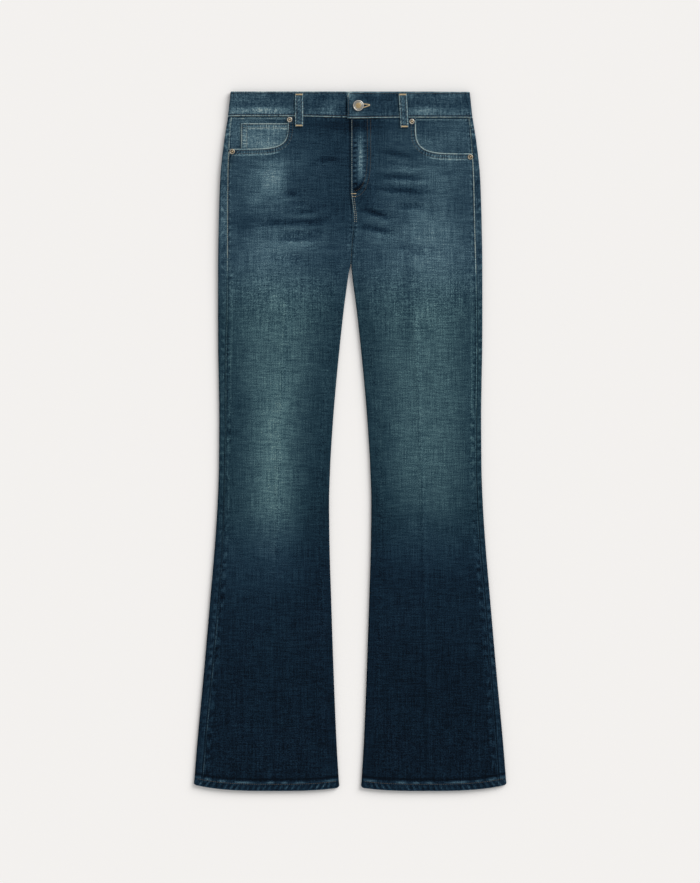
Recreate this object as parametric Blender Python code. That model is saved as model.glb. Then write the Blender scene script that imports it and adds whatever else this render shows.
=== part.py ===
"""Flared five-pocket jeans, laid flat on a surface with the front up.

The origin lies on the surface under the middle of the garment. +Y points to the waist, +Z up and +X to the
wearer's left. Left and right are the wearer's. Every panel is a wall of cloth: its outer face is a grid of
points worked out from the tables below, with a second grid inside it for the thickness. Lengths in this file
are in millimetres until a mesh is made.
"""

import math
from typing import NamedTuple

import bmesh
import bpy
import numpy as np

MM = 0.001
RIGHT, LEFT = -1, 1
SIDE_NAMES = {RIGHT: "right", LEFT: "left"}

# Driving sizes
LENGTH = 1100.0  # top of the waistband to the lowest point of the hems
CLOTH = 1.2  # denim
BAND_CLOTH = 2.4  # waistband, two layers
SEAM_GAP = 0.3
ROLLED_SEAM_GAP = 0.45  # where the inseam rolls under below the crotch
LAYER_GAP = 0.4  # between layers that lie on each other under the front
BAND_HEIGHT = 40.0
BAND_LIFT = 0.9  # how far the waistband stands above the panels
BAND_SAG = {RIGHT: (-1.1, 0.8), LEFT: (1.1, 2.2)}  # of its lower edge in front, beside the pockets and at the button
BAND_TOP_SAG = {RIGHT: 0.0, LEFT: 0.6}
SAG_SPAN = 95.0
SAG_FADE_START, SAG_FADE = 120.0, 70.0  # on the underside it has gone inside this distance from the centre
HEM_HEIGHT = 15.0
HEM_LIFT, HEM_STEP = 0.4, 1.5  # the turned-up cloth stands over the leg, after a step this wide
HEM_RISE = 9.4  # how much higher the hem's outer corner lies than its lowest point
HEM_MIDDLE = 120.0  # centre line to the lowest point of the hem
HEM_HALF = 124.0
HEM_CURVE_START = 640.0  # the rows curve more and more from this level to the hem
EDGE_REACH = 22.0  # the crown of the cloth falls to a fold over this width
TURN = 3.4  # width at a fold that belongs to its turn

# Fly and centre front
FLY_EDGE = 1.6  # centre line to the edge of the fly, which laps over the wearer's right front
FLY_UNDERLAP = 14.0
FLY_LIFT = 1.5  # the fly and its topstitched band stand over the layers below
FLY_LIFT_END = 40.0
FLY_SLOPE = 8.0
FLY_BOTTOM, FLY_UNDERLAP_FADE = 168.0, 10.0
FLY_LIFT_BOTTOM, FLY_LIFT_FADE = 176.0, 14.0
CROTCH_START, CROTCH_END = 190.0, 290.0  # the inner edges roll under between these
INSEAM_UNDER = 5.0  # inner fold to the inseam, measured on the underside
FRONT_LEAD, BACK_LEAD = 8.0, 10.0  # flat cloth next to the turn of the inner edge

# Waistband lap
TAB_EDGE = -4.2
BAND_UNDERLAP = 36.0
TAB_SLOPE_START, TAB_SLOPE_END = 38.0, 50.0  # the upper half climbs over the lower between these
BAND_EDGE_FALL = 0.5
LAP_COLUMNS = (0, 8, 16, 24, 32, 39, 42, 45, 49, 53)  # from the front end

# Back
YOKE_SIDE, YOKE_CENTRE = 58.4, 96.0  # where the yoke seam meets the outseam and the centre back
YOKE_REACH = 193.5  # from the centre back to where the side turns, along the yoke seam
PLAIN_ROW = 130.0  # rows above it follow the pockets and the yoke, and rows below it are level

# Front pockets: where the opening's edge meets the waistband and the outseam, and how square its curve is
POCKET_TOP = {RIGHT: 98.0, LEFT: 103.2}
POCKET_SIDE = {RIGHT: 90.1, LEFT: 97.4}
POCKET_SQUARENESS = {RIGHT: 4.9, LEFT: 4.6}
FACING_UNDER = 12.0  # how far a facing runs on under the front panel
FACING_LOW_INSET = 5.0  # its lowest row draws in from both sides
COIN_DIP_SIDE, COIN_DIP_TOP = 2.2, 8.0  # widths over which the facing dips under the coin pocket
COIN_INNER, COIN_OUTER, COIN_TOP, COIN_UNDER = 88.0, 171.7, 50.0, 9.0

# Trim
LOOP_WIDTH, LOOP_TOP, LOOP_BOTTOM = 12.6, 3.3, 55.4
FRONT_LOOPS = {RIGHT: -80.4, LEFT: 84.0}
LOOP_SLANT = {RIGHT: 0.0, LEFT: 0.058}  # the wearer's left one leans, and reaches lower
LOOP_SAG = {RIGHT: 0.0, LEFT: 1.5}
LOOP_MIDDLE = 30.0
BACK_LOOPS = {"right": -108.0, "centre": 0.0, "left": 108.0}
BUTTON_AT = (12.9, 22.3)
BUTTON_PROFILE = (  # radius and height: shank, underside, rolled rim, dished middle
    (0, 0), (4, 0), (4, 1), (7.8, 1), (8.6, 1.6), (8.6, 2.4), (7.6, 3.3), (5.4, 3.1), (0, 3.5),
)
RIVET_RADIUS = 4.25
RIVET_PROFILE = (  # radius and height: flange, its bevel, the nipple in the middle
    (0, 0), (RIVET_RADIUS, 0), (RIVET_RADIUS, 0.5), (3.4, 1.1), (1.9, 0.8), (1.4, 1.5), (0, 1.7),
)
RIVETS = {
    "rivet_waist_right": (-95.2, 44.4),
    "rivet_side_right": (-185.6, 94.5),
    "rivet_waist_left": (97.0, 47.2),
    "rivet_side_left": (189.0, 102.9),
}
BACK_POCKET_CENTRE, BACK_POCKET_TOP = 100.0, 112.0
BACK_POCKET_TOP_WIDTH, BACK_POCKET_LOW_WIDTH = 142.0, 116.0
BACK_POCKET_HEIGHT, BACK_POCKET_POINT = 118.0, 20.0
BACK_POCKET_TILT = 6.0  # the top edge drops this much towards the outseam

# How finely the cloth is divided
POCKET_COLUMNS, WAIST_COLUMNS = 8, 6  # of a front panel
FRONT_TURN = (0, 8, 10, 12, 14, 16, 21)  # columns of its inner edge, as shares of the last
LEAD_COLUMNS, FLAT_COLUMNS, TURN_COLUMNS = 3, 5, 5
POCKET_ROWS, YOKE_ROWS, BAND_ROWS = 4, 3, 3
HIP_ROWS = np.linspace(PLAIN_ROW, 274, 17)
BACK_HIP_ROWS = np.append(PLAIN_ROW, HIP_ROWS[5:])  # the seat is flat above the crotch
LEG_ROWS = (292, 316, 344, 380, 420, 462, 506, 550, 592, 634, 676, 720, 770, 826, 886, 950, 1012, 1060)
HEM_ROWS = (LENGTH - HEM_HEIGHT, LENGTH - HEM_HEIGHT + HEM_STEP, LENGTH)


class Section(NamedTuple):
    """The garment at one level. The outline is the same on both sides."""

    down: float  # below the top of the waistband
    outer: float  # centre line to the side fold
    inner: float  # centre line to the leg's inner fold
    crown: float  # height of the upper cloth in the middle
    edge: float  # height of the upper cloth where it turns over a fold
    base: float  # height of the lower cloth's underside
    seam_right: float  # side fold to the outseam, measured across the front
    seam_left: float


SECTIONS = (
    Section(0, 188.1, 0, 7.6, 7.0, 1.5, 4.6, 4.6),
    Section(40, 192.5, 0, 7.6, 7.0, 1.5, 4.9, 4.9),
    Section(80, 198.6, 0, 7.6, 7.0, 1.5, 7.4, 7.0),
    Section(136, 204.4, 0, 7.6, 7.0, 1.5, 11.1, 9.6),
    Section(212, 206.9, 0, 7.6, 6.8, 1.5, 13.0, 10.4),
    Section(264, 207.8, 0, 7.4, 6.4, 1.5, 14.0, 9.9),
    Section(288, 207.9, 2.8, 7.2, 6.2, 1.3, 14.2, 9.4),
    Section(344, 207.9, 10.2, 6.7, 5.6, 0.6, 13.8, 8.6),
    Section(401, 207.7, 16.4, 6.3, 5.2, 0, 12.0, 7.8),
    Section(457, 206.7, 21.9, 6.2, 5.1, 0, 10.6, 7.4),
    Section(514, 206.0, 26.7, 6.2, 5.0, 0, 9.5, 7.6),
    Section(590, 206.5, 31.4, 6.2, 5.0, 0, 9.2, 8.4),
    Section(646, 208.5, 33.1, 6.2, 5.0, 0, 10.0, 8.8),
    Section(703, 212.1, 32.6, 6.2, 5.0, 0, 11.6, 8.8),
    Section(797, 220.0, 29.9, 6.1, 5.0, 0, 13.4, 8.4),
    Section(911, 229.9, 26.1, 6.0, 4.9, 0, 13.2, 9.0),
    Section(1024, 240.5, 21.4, 5.8, 4.8, 0, 13.0, 11.0),
    Section(1100, 246.6, 16.8, 5.6, 4.8, 0, 13.0, 11.6),
)


class SeamPoint(NamedTuple):
    """Where the centre-front seam and the slit below it run."""

    down: float
    offset: float  # to the wearer's left of the centre line


CENTRE_SEAM = (
    SeamPoint(40, FLY_EDGE),
    SeamPoint(160, 1.8),
    SeamPoint(199, 5.6),
    SeamPoint(216, 5.0),
    SeamPoint(240, 2.8),
    SeamPoint(270, 1.0),
    SeamPoint(300, 0),
    SeamPoint(1100, 0),
)


class LoopPoint(NamedTuple):
    """A point along a belt loop in front, which is tacked down at both ends and stands off between them."""

    down: float
    stand: float  # how far it stands off what is under it
    thick: float  # the ends are folded under


LOOP_POINTS = (
    LoopPoint(LOOP_TOP, 0, 2.2),
    LoopPoint(9, 0, 2.2),
    LoopPoint(14, 0.7, 1.5),
    LoopPoint(22, 1.0, 1.5),
    LoopPoint(30, 0.7, 1.5),
    LoopPoint(36, 0, 1.5),
    LoopPoint(41.5, 0, 1.5),
    LoopPoint(45, 0, 2.2),
    LoopPoint(LOOP_BOTTOM, 0, 2.2),
)
LOOP_STEP = 43.0  # below this level it lies on the front panel, and above it on the waistband


class Fold(NamedTuple):
    """A soft trough across the hip or thigh."""

    x: float
    down: float
    half_length: float
    half_width: float
    slope: float  # how much it drops for each millimetre towards the wearer's left
    depth: float


FOLDS = (
    Fold(-44, 112, 34, 8, -0.08, 0.6),
    Fold(-90, 160, 46, 9, -0.03, 0.7),
    Fold(-74, 183, 42, 8, -0.10, 0.6),
    Fold(-128, 207, 44, 9, 0.02, 0.7),
    Fold(-52, 203, 42, 9, -0.22, 0.8),
    Fold(-76, 228, 58, 8, -0.06, 0.9),
    Fold(-96, 262, 50, 10, 0.06, 0.5),
    Fold(78, 113, 40, 8, 0.16, 0.6),
    Fold(82, 136, 52, 8, 0.05, 0.7),
    Fold(86, 158, 60, 9, 0.05, 0.8),
    Fold(104, 183, 44, 8, 0.02, 0.6),
    Fold(48, 195, 40, 8, 0.22, 0.8),
    Fold(50, 222, 46, 9, 0.18, 0.8),
    Fold(110, 250, 50, 10, 0.06, 0.5),
)
CREASE_HEIGHT, CREASE_HALF_WIDTH = 0.5, 5.0
CREASE_SHARE = 0.46  # of the way from the inner fold to the side fold
CREASE_TOP, CREASE_TOP_FADE, CREASE_BOTTOM, CREASE_BOTTOM_FADE = 280.0, 120.0, 1050.0, 35.0


def monotone(x, points_x, points_y):
    """A smooth curve through the points that never overshoots them, read at x."""
    x = np.asarray(x, float)
    points_x, points_y = np.asarray(points_x, float), np.asarray(points_y, float)
    step = np.diff(points_x)
    rise = np.diff(points_y) / step
    slope = np.empty_like(points_y)
    slope[0], slope[-1] = rise[0], rise[-1]
    before, after = rise[:-1], rise[1:]
    same = before * after > 0
    weight_before = 2 * step[1:] + step[:-1]
    weight_after = step[1:] + 2 * step[:-1]
    safe_before, safe_after = np.where(same, before, 1), np.where(same, after, 1)
    mean = (weight_before + weight_after) / (weight_before / safe_before + weight_after / safe_after)
    slope[1:-1] = np.where(same, mean, 0)
    at = np.clip(np.searchsorted(points_x, x) - 1, 0, len(step) - 1)
    t = np.clip((x - points_x[at]) / step[at], 0, 1)
    return (
        points_y[at] * (1 + 2 * t) * (1 - t) ** 2
        + points_y[at + 1] * t * t * (3 - 2 * t)
        + step[at] * slope[at] * t * (1 - t) ** 2
        - step[at] * slope[at + 1] * t * t * (1 - t)
    )


def smooth_step(x):
    """0 below 0, 1 above 1, and an S-shaped rise between."""
    t = np.clip(x, 0, 1)
    return t * t * (3 - 2 * t)


def section(column, down):
    """One column of the section table at that level."""
    return monotone(down, [s.down for s in SECTIONS], [getattr(s, column) for s in SECTIONS])


def centre_seam(down):
    return monotone(down, [p.down for p in CENTRE_SEAM], [p.offset for p in CENTRE_SEAM])


def outseam(side, down):
    """Centre line to the outseam, on the front."""
    return section("outer", down) - section("seam_" + SIDE_NAMES[side], down)


def fold_depth(x, down):
    """How far the soft folds pull the front down at a point."""
    depth = np.zeros(np.broadcast(x, down).shape)
    for fold in FOLDS:
        along = (x - fold.x) / fold.half_length
        across = (down - fold.down - fold.slope * (x - fold.x)) / fold.half_width
        depth += fold.depth * np.clip(1 - along**2, 0, 1) ** 2 * np.exp(-(across**2))
    return depth


def leg_crease(out, down):
    """The pressed crease down the middle of each leg, as a low ridge."""
    middle = CREASE_SHARE * section("outer", down) + (1 - CREASE_SHARE) * section("inner", down)
    shown = smooth_step((down - CREASE_TOP) / CREASE_TOP_FADE)
    shown = shown * (1 - smooth_step((down - CREASE_BOTTOM) / CREASE_BOTTOM_FADE))
    return CREASE_HEIGHT * shown * np.exp(-(((out - middle) / CREASE_HALF_WIDTH) ** 2))


def crotch_opening(down):
    """0 where the fronts meet at the centre seam, 1 where the legs have parted."""
    return smooth_step((down - CROTCH_START) / (CROTCH_END - CROTCH_START))


def upper_height(side, out, down):
    """Height of the upper cloth, out being the distance from the centre line towards that side."""
    crown, edge = section("crown", down), section("edge", down)
    from_outer = section("outer", down) - out - TURN
    from_inner = out - side * centre_seam(down) - section("inner", down) - TURN
    fall = smooth_step(1 - from_outer / EDGE_REACH)
    fall = np.maximum(fall, smooth_step(1 - from_inner / EDGE_REACH) * crotch_opening(down))
    height = crown - (crown - edge) * fall - fold_depth(side * out, down) + leg_crease(out, down)
    if side == LEFT:
        across = smooth_step((FLY_LIFT_END - out) / FLY_SLOPE)
        height = height + FLY_LIFT * across * (1 - smooth_step((down - FLY_LIFT_BOTTOM) / FLY_LIFT_FADE))
    return height + HEM_LIFT * smooth_step((down - (LENGTH - HEM_HEIGHT)) / HEM_STEP)


def hem_curve(out, down):
    """How far a row is raised above its own level at that distance from the centre line."""
    grown = smooth_step((down - HEM_CURVE_START) / (LENGTH - HEM_CURVE_START))
    return HEM_RISE * np.abs((out - HEM_MIDDLE) / HEM_HALF) ** 3 * grown


def place(side, out, down, height):
    """Garment measurements as a grid of points in metres."""
    y = LENGTH / 2 - down + hem_curve(out, down)
    return np.stack([side * out, y, height], axis=-1) * MM


def inner_turn(side, down):
    """The inner fold: its radius, how far the front's edge runs round it, and where it lies."""
    radius = (section("edge", down) - section("base", down)) / 2
    wrap = crotch_opening(down) * (math.pi * radius + INSEAM_UNDER)
    fold = side * centre_seam(down) + np.maximum(section("inner", down), SEAM_GAP / 2)
    return radius, wrap, fold


def band_sag(side, out):
    """How far the waistband's lower edge hangs below its level in front."""
    beside, middle = BAND_SAG[side]
    return beside + (middle - beside) * smooth_step((SAG_SPAN - out) / SAG_SPAN)


def front_top(side):
    """The front panel's top edge as (out, down): along the pocket's curve, then along the waistband."""
    band = BAND_HEIGHT + SEAM_GAP + BAND_SAG[side][0]
    angle = np.linspace(math.pi / 2, 0, POCKET_COLUMNS + 1)
    power = 2 / POCKET_SQUARENESS[side]
    down = band + (POCKET_SIDE[side] - band) * np.sin(angle) ** power
    edge = outseam(side, down) - SEAM_GAP / 2
    pocket = POCKET_TOP[side] + (edge - POCKET_TOP[side]) * (1 - np.clip(np.cos(angle), 0, 1) ** power)
    front_in = FRONT_LEAD + (FLY_EDGE if side == LEFT else -FLY_UNDERLAP)
    waist = np.linspace(POCKET_TOP[side], front_in, WAIST_COLUMNS + 1)[1:]
    share = (np.append(pocket, waist) - front_in) / (np.append(edge, 0 * waist + edge[-1]) - front_in)
    share[0], share[-1] = 1, 0
    return share, np.append(down, BAND_HEIGHT + SEAM_GAP + band_sag(side, waist))


def front_grid(side, rows):
    """Outer face of a front panel, from the outseam across the front and round the leg's inner fold."""
    share, top_down = front_top(side)
    even = np.linspace(1, 0, len(share))
    turn = np.array(FRONT_TURN) / FRONT_TURN[-1]
    plain_turn = np.linspace(0, 1, len(turn))

    level = np.concatenate([pocket_rows(side), rows])[:, None]
    blend = np.clip((level - POCKET_SIDE[side]) / (PLAIN_ROW - POCKET_SIDE[side]), 0, 1)
    share = np.concatenate([share + blend * (even - share), 0 * (level + turn[1:])], axis=1)
    top_down = np.concatenate([top_down, np.full(len(turn) - 1, top_down[-1])])
    down = np.where(blend < 1, top_down + blend * (PLAIN_ROW - top_down), level)
    turning = np.concatenate([0 * even[1:], plain_turn])
    eased = np.concatenate([0 * even[1:], turn])

    out = HEM_MIDDLE
    for _ in range(2):  # a point's level depends a little on how far out it is
        read = down - hem_curve(out, down)
        radius, wrap, fold = inner_turn(side, read)
        if side == RIGHT:
            fold = fold - (fold + FLY_UNDERLAP) * smooth_step((FLY_BOTTOM - read) / FLY_UNDERLAP_FADE)
        roll = np.clip(wrap / radius - ROLLED_SEAM_GAP / 2 / (radius - CLOTH), 0, math.pi)
        under = np.clip(wrap - math.pi * radius - SEAM_GAP / 2, 0, None)
        start = fold + radius * np.sin(np.minimum(roll, math.pi / 2))
        lead_out = start + FRONT_LEAD
        edge = outseam(side, read) - SEAM_GAP / 2
        opened = crotch_opening(read)
        way = (FRONT_LEAD + radius * roll + under) * (turning + opened * (eased - turning))
        angle = np.clip((way - FRONT_LEAD) / radius, 0, roll)
        past = np.clip(way - FRONT_LEAD - radius * roll, 0, None)
        turned_out = lead_out - np.minimum(way, FRONT_LEAD) - radius * np.sin(angle) + past
        out = np.where(turning > 0, turned_out, lead_out + share * (edge - lead_out))
    height = upper_height(side, np.where(turning > 0, np.maximum(out, start), out), read)
    return place(side, out, down, height - np.where(turning > 0, radius * (1 - np.cos(angle)), 0))


def pocket_rows(side):
    """Levels between the pocket's lower end at the outseam and the first plain row."""
    return np.linspace(POCKET_SIDE[side], PLAIN_ROW, POCKET_ROWS + 1)[:-1]


def side_turn(side, turn, down):
    """The path round the side fold: 0 to 1 is the turn itself, and 1 to 2 the strip up to the outseam."""
    base, upper = section("base", down), section("edge", down)
    radius = (upper - base) / 2
    centre = section("outer", down) - radius
    angle = math.pi * np.clip(turn, 0, 1)
    seam = outseam(side, down) + SEAM_GAP / 2
    out = centre + radius * np.sin(angle) - np.clip(turn - 1, 0, 1) * (centre - seam)
    height = np.where(turn > 1, upper_height(side, out, down), base + radius * (1 - np.cos(angle)))
    return out, height, centre


def back_grid(side, rows):
    """Outer face of a back panel: along the underside, round the side fold and up to the outseam."""
    lead = np.linspace(0, 1, LEAD_COLUMNS + 1)
    flat = np.linspace(0, 1, FLAT_COLUMNS + 1)[1:]
    turn = np.append(np.linspace(0, 1, TURN_COLUMNS + 1)[1:], 2.0)
    lead = np.concatenate([lead, np.ones(len(flat) + len(turn))])
    flat = np.concatenate([np.zeros(LEAD_COLUMNS + 1), flat, np.ones(len(turn))])
    turn = np.concatenate([np.zeros(len(lead) - len(turn)), turn])

    level = rows[:, None]
    share = flat + (lead - flat) * BACK_LEAD / YOKE_REACH
    yoke = YOKE_CENTRE + (YOKE_SIDE - YOKE_CENTRE) * share + SEAM_GAP / 2
    blend = np.clip((level - YOKE_SIDE) / (PLAIN_ROW - YOKE_SIDE), 0, 1)
    down = np.where(blend < 1, yoke + blend * (PLAIN_ROW - yoke), level)

    out = HEM_MIDDLE
    for _ in range(2):  # as on the front
        read = down - hem_curve(out, down)
        radius, wrap, fold = inner_turn(side, read)
        fold = np.where(read < CROTCH_START, SEAM_GAP / 2, fold)
        left_over = np.minimum(wrap, math.pi * radius - wrap) / radius
        roll = np.clip(left_over - ROLLED_SEAM_GAP / 2 / (radius - CLOTH), 0, None)
        start = fold + np.where(wrap > math.pi * radius / 2, radius, radius * np.sin(roll))
        start = start + np.clip(wrap - math.pi * radius + SEAM_GAP / 2, 0, None)
        way = lead * (radius * roll + BACK_LEAD)
        angle = np.clip(roll - way / radius, 0, None)
        lead_out = start + np.clip(way - radius * roll, 0, None) - radius * np.sin(angle)
        turn_out, turn_height, centre = side_turn(side, turn, read)
        flat_out = start + BACK_LEAD + flat * (centre - start - BACK_LEAD)
        out = np.where(lead < 1, lead_out, np.where(turn > 0, turn_out, flat_out))
    lead_height = section("base", read) + radius * (1 - np.cos(angle))
    return place(side, out, down, np.where(turn > 0, turn_height, lead_height))


def yoke_grid(side):
    """Outer face of a back yoke, from the centre back to the outseam on the front."""
    flat = np.linspace(0, 1, FLAT_COLUMNS)
    turn = np.append(np.linspace(0, 1, TURN_COLUMNS + 1)[1:], 2.0)
    flat, turn = np.append(flat, np.ones(len(turn))), np.append(0 * flat, turn)
    low = YOKE_CENTRE + (YOKE_SIDE - YOKE_CENTRE) * flat - SEAM_GAP / 2
    rough_out = SECTIONS[1].outer * flat
    band = BAND_HEIGHT + SEAM_GAP + BAND_SAG[side][0] * smooth_step((rough_out - SAG_FADE_START) / SAG_FADE)
    down = band + np.linspace(0, 1, YOKE_ROWS + 1)[:, None] * (low - band)
    turn_out, turn_height, centre = side_turn(side, turn, down)
    flat_out = SEAM_GAP / 2 + flat * (centre - SEAM_GAP / 2)
    out = np.where(turn > 0, turn_out, flat_out)
    return place(side, out, down, np.where(turn > 0, turn_height, section("base", down)))


def band_height(side, out, down):
    """Height of the waistband's upper face. The wearer's left half climbs over the other at the button."""
    fall = smooth_step(1 - (section("outer", down) - out - TURN) / EDGE_REACH)
    height = section("crown", down) + BAND_LIFT - BAND_EDGE_FALL * fall
    if side == LEFT:
        climb = smooth_step((TAB_SLOPE_END - out) / (TAB_SLOPE_END - TAB_SLOPE_START))
        height = height + (BAND_CLOTH + SEAM_GAP) * climb
    return height


def band_grid(side):
    """Outer face of half the waistband, from its front end over the side fold to the centre back."""
    down = np.linspace(0, BAND_HEIGHT, BAND_ROWS + 1)[:, None]
    outer, base = section("outer", down), section("base", down)
    fold_top = band_height(side, outer, down)
    radius = (fold_top - base) / 2
    centre = outer - radius

    lap = (TAB_EDGE if side == LEFT else -BAND_UNDERLAP) + np.array(LAP_COLUMNS) + 0 * down
    front = lap[:, -1:] + np.linspace(0, 1, FLAT_COLUMNS)[1:] * (centre - lap[:, -1:])
    top = np.concatenate([lap, front], axis=1)
    angle = np.linspace(0, math.pi, TURN_COLUMNS + 1)[1:]
    turn_height = fold_top - radius * (1 - np.cos(angle))
    under = centre - np.linspace(0, 1, FLAT_COLUMNS - 1)[1:] * (centre - SEAM_GAP / 2)
    out = np.concatenate([top, centre + radius * np.sin(angle), under], axis=1)
    height = np.concatenate([band_height(side, top, down), turn_height, base + 0 * under], axis=1)
    kept = np.where(np.arange(out.shape[1]) < out.shape[1] - under.shape[1], 1, 0)
    kept = np.maximum(kept, smooth_step((out - SAG_FADE_START) / SAG_FADE))
    share = down / BAND_HEIGHT
    sag = kept * (share * band_sag(side, out) + (1 - share) * BAND_TOP_SAG[side])
    return place(side, out, down + sag, height)


def facing_grid(side):
    """Outer face of a pocket facing. It dips under the coin pocket on the wearer's right."""
    top, low = BAND_HEIGHT + SEAM_GAP + BAND_SAG[side][0], POCKET_SIDE[side]
    down = np.concatenate([np.linspace(top, YOKE_SIDE, 3), np.linspace(YOKE_SIDE, low, 3)[1:]])
    down = np.append(down, low + FACING_UNDER)[:, None]
    inset = np.where(down > low, FACING_LOW_INSET, 0)
    edge = outseam(side, down) - SEAM_GAP / 2 - inset
    inner = POCKET_TOP[side] - FACING_UNDER + inset
    dip_edge = COIN_OUTER + COIN_DIP_SIDE
    out = np.append(inner + np.linspace(0, 1, FLAT_COLUMNS + 1) * (dip_edge - inner), edge, axis=1)
    level = CLOTH + LAYER_GAP
    if side == RIGHT:
        dip = smooth_step((down - top) / COIN_DIP_TOP) * smooth_step((edge - out) / (edge - dip_edge))
        level = level + dip * (CLOTH + LAYER_GAP)
    return place(side, out, down, upper_height(side, out, down) - level)


def coin_grid():
    """Outer face of the coin pocket. Its side and bottom run on under the front panel."""
    down = np.linspace(COIN_TOP, POCKET_SIDE[RIGHT] + COIN_UNDER, FLAT_COLUMNS)[:, None]
    out = np.linspace(COIN_INNER, COIN_OUTER, FLAT_COLUMNS + 2) + 0 * down
    return place(RIGHT, out, down, upper_height(RIGHT, out, down) - CLOTH - LAYER_GAP)


def make_material(name, colour, roughness, metallic=0.0):
    """A Principled material. The colour is linear."""
    material = bpy.data.materials.new(name)
    material.use_nodes = True
    shader = material.node_tree.nodes["Principled BSDF"]
    shader.inputs["Base Color"].default_value = (*colour, 1.0)
    shader.inputs["Roughness"].default_value = roughness
    shader.inputs["Metallic"].default_value = metallic
    return material


def add_object(name, mesh, material, parent):
    """A smooth-shaded object of that mesh, under the garment's empty."""
    mesh.materials.append(material)
    mesh.shade_smooth()
    mesh.set_sharp_from_angle(angle=math.radians(40))
    made = bpy.data.objects.new(name, mesh)
    made.parent = parent
    bpy.context.scene.collection.objects.link(made)
    return made


def wall_tangents(grid):
    """Unit tangents down the grid's columns, the end ones mirrored so that a curve keeps its turn to the end."""
    chord = np.diff(grid, axis=0)
    chord /= np.linalg.norm(chord, axis=-1, keepdims=True)
    inner = grid[2:] - grid[:-2]
    inner /= np.linalg.norm(inner, axis=-1, keepdims=True)
    first = 2 * np.sum(chord[:1] * inner[:1], axis=-1, keepdims=True) * chord[:1] - inner[:1]
    last = 2 * np.sum(chord[-1:] * inner[-1:], axis=-1, keepdims=True) * chord[-1:] - inner[-1:]
    return np.concatenate([first, inner, last])


def add_wall(name, grid, flipped, thickness, material, parent):
    """A wall of cloth: the grid of its outer face, a second grid inside it, and the four edges between them."""
    across = wall_tangents(grid.transpose(1, 0, 2)).transpose(1, 0, 2)
    normal = np.cross(across, wall_tangents(grid))
    normal *= (-1 if flipped else 1) / np.linalg.norm(normal, axis=-1, keepdims=True)
    rows, columns = grid.shape[:2]
    count = rows * columns
    index = np.arange(count).reshape(rows, columns)
    rim = np.concatenate([index[0, :-1], index[:-1, -1], index[-1, :0:-1], index[:0:-1, 0]])
    ahead = np.roll(rim, -1)
    outer = np.stack([index[:-1, :-1], index[:-1, 1:], index[1:, 1:], index[1:, :-1]], axis=-1).reshape(-1, 4)
    walls = np.stack([rim, rim + count, ahead + count, ahead], axis=-1)
    faces = np.concatenate([outer, outer[:, ::-1] + count, walls])
    if flipped:
        faces = faces[:, ::-1]
    points = np.concatenate([grid.reshape(-1, 3), (grid - thickness * MM * normal).reshape(-1, 3)])
    mesh = bpy.data.meshes.new(name)
    mesh.from_pydata(points.tolist(), [], faces.tolist())
    return add_object(name, mesh, material, parent)


def add_extruded(name, outline, offset, material, parent):
    """A closed solid: a flat outline of points in millimetres, and the same outline moved by the offset."""
    shape = bmesh.new()
    face = shape.faces.new([shape.verts.new([MM * value for value in point]) for point in outline])
    made = bmesh.ops.extrude_face_region(shape, geom=[face])["geom"]
    moved = [item for item in made if isinstance(item, bmesh.types.BMVert)]
    bmesh.ops.translate(shape, verts=moved, vec=[MM * value for value in offset])
    bmesh.ops.triangulate(shape, faces=[f for f in shape.faces if len(f.verts) > 4])
    bmesh.ops.recalc_face_normals(shape, faces=shape.faces)
    mesh = bpy.data.meshes.new(name)
    shape.to_mesh(mesh)
    shape.free()
    return add_object(name, mesh, material, parent)


def front_loop_outline(side):
    """The inner side of a belt loop in front, which leans a little."""
    panel = SECTIONS[0].crown + SEAM_GAP
    low, high = [], []
    for p in LOOP_POINTS:
        down = p.down + (LOOP_SAG[side] if p.down > LOOP_STEP else 0)
        x = FRONT_LOOPS[side] - LOOP_WIDTH / 2 + LOOP_SLANT[side] * (down - LOOP_MIDDLE)
        under = panel + p.stand + (BAND_LIFT if p.down < LOOP_STEP else 0)
        low.append((x, LENGTH / 2 - down, under))
        high.append((x, LENGTH / 2 - down, under + p.thick))
    return low + high[::-1]


def back_loop_outline(x):
    """A belt loop on the back lies flat."""
    top, bottom = LENGTH / 2 - LOOP_TOP, LENGTH / 2 - LOOP_BOTTOM
    return [(x, top, 0), (x, bottom, 0), (x, bottom, CLOTH), (x, top, CLOTH)]


def add_turned(name, profile, steps, at, height, material, parent):
    """A piece turned round its own upright axis from (radius, height) points, set on the cloth."""
    shape = bmesh.new()
    line = [shape.verts.new((radius * MM, 0, z * MM)) for radius, z in profile]
    edges = [shape.edges.new(pair) for pair in zip(line[:-1], line[1:], strict=True)]
    bmesh.ops.spin(
        shape, geom=line + edges, cent=(0, 0, 0), axis=(0, 0, 1), angle=2 * math.pi, steps=steps, use_merge=True
    )
    bmesh.ops.remove_doubles(shape, verts=shape.verts, dist=1e-6)
    bmesh.ops.recalc_face_normals(shape, faces=shape.faces)
    mesh = bpy.data.meshes.new(name)
    shape.to_mesh(mesh)
    shape.free()
    made = add_object(name, mesh, material, parent)
    x, down = at
    made.location = (x * MM, (LENGTH / 2 - down) * MM, height * MM)
    return made


def back_pocket_outline(side):
    """The five-sided patch pocket on the underside."""
    half_top, half_low = BACK_POCKET_TOP_WIDTH / 2, BACK_POCKET_LOW_WIDTH / 2
    low = BACK_POCKET_TOP + BACK_POCKET_HEIGHT
    corners = (
        (-half_top, BACK_POCKET_TOP),
        (half_top, BACK_POCKET_TOP + BACK_POCKET_TILT),
        (half_low, low),
        (0, low + BACK_POCKET_POINT),
        (-half_low, low),
    )
    return [(side * (BACK_POCKET_CENTRE + out), LENGTH / 2 - down, 0) for out, down in corners]


def clear_scene():
    for old in list(bpy.data.objects):
        bpy.data.objects.remove(old, do_unlink=True)


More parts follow.
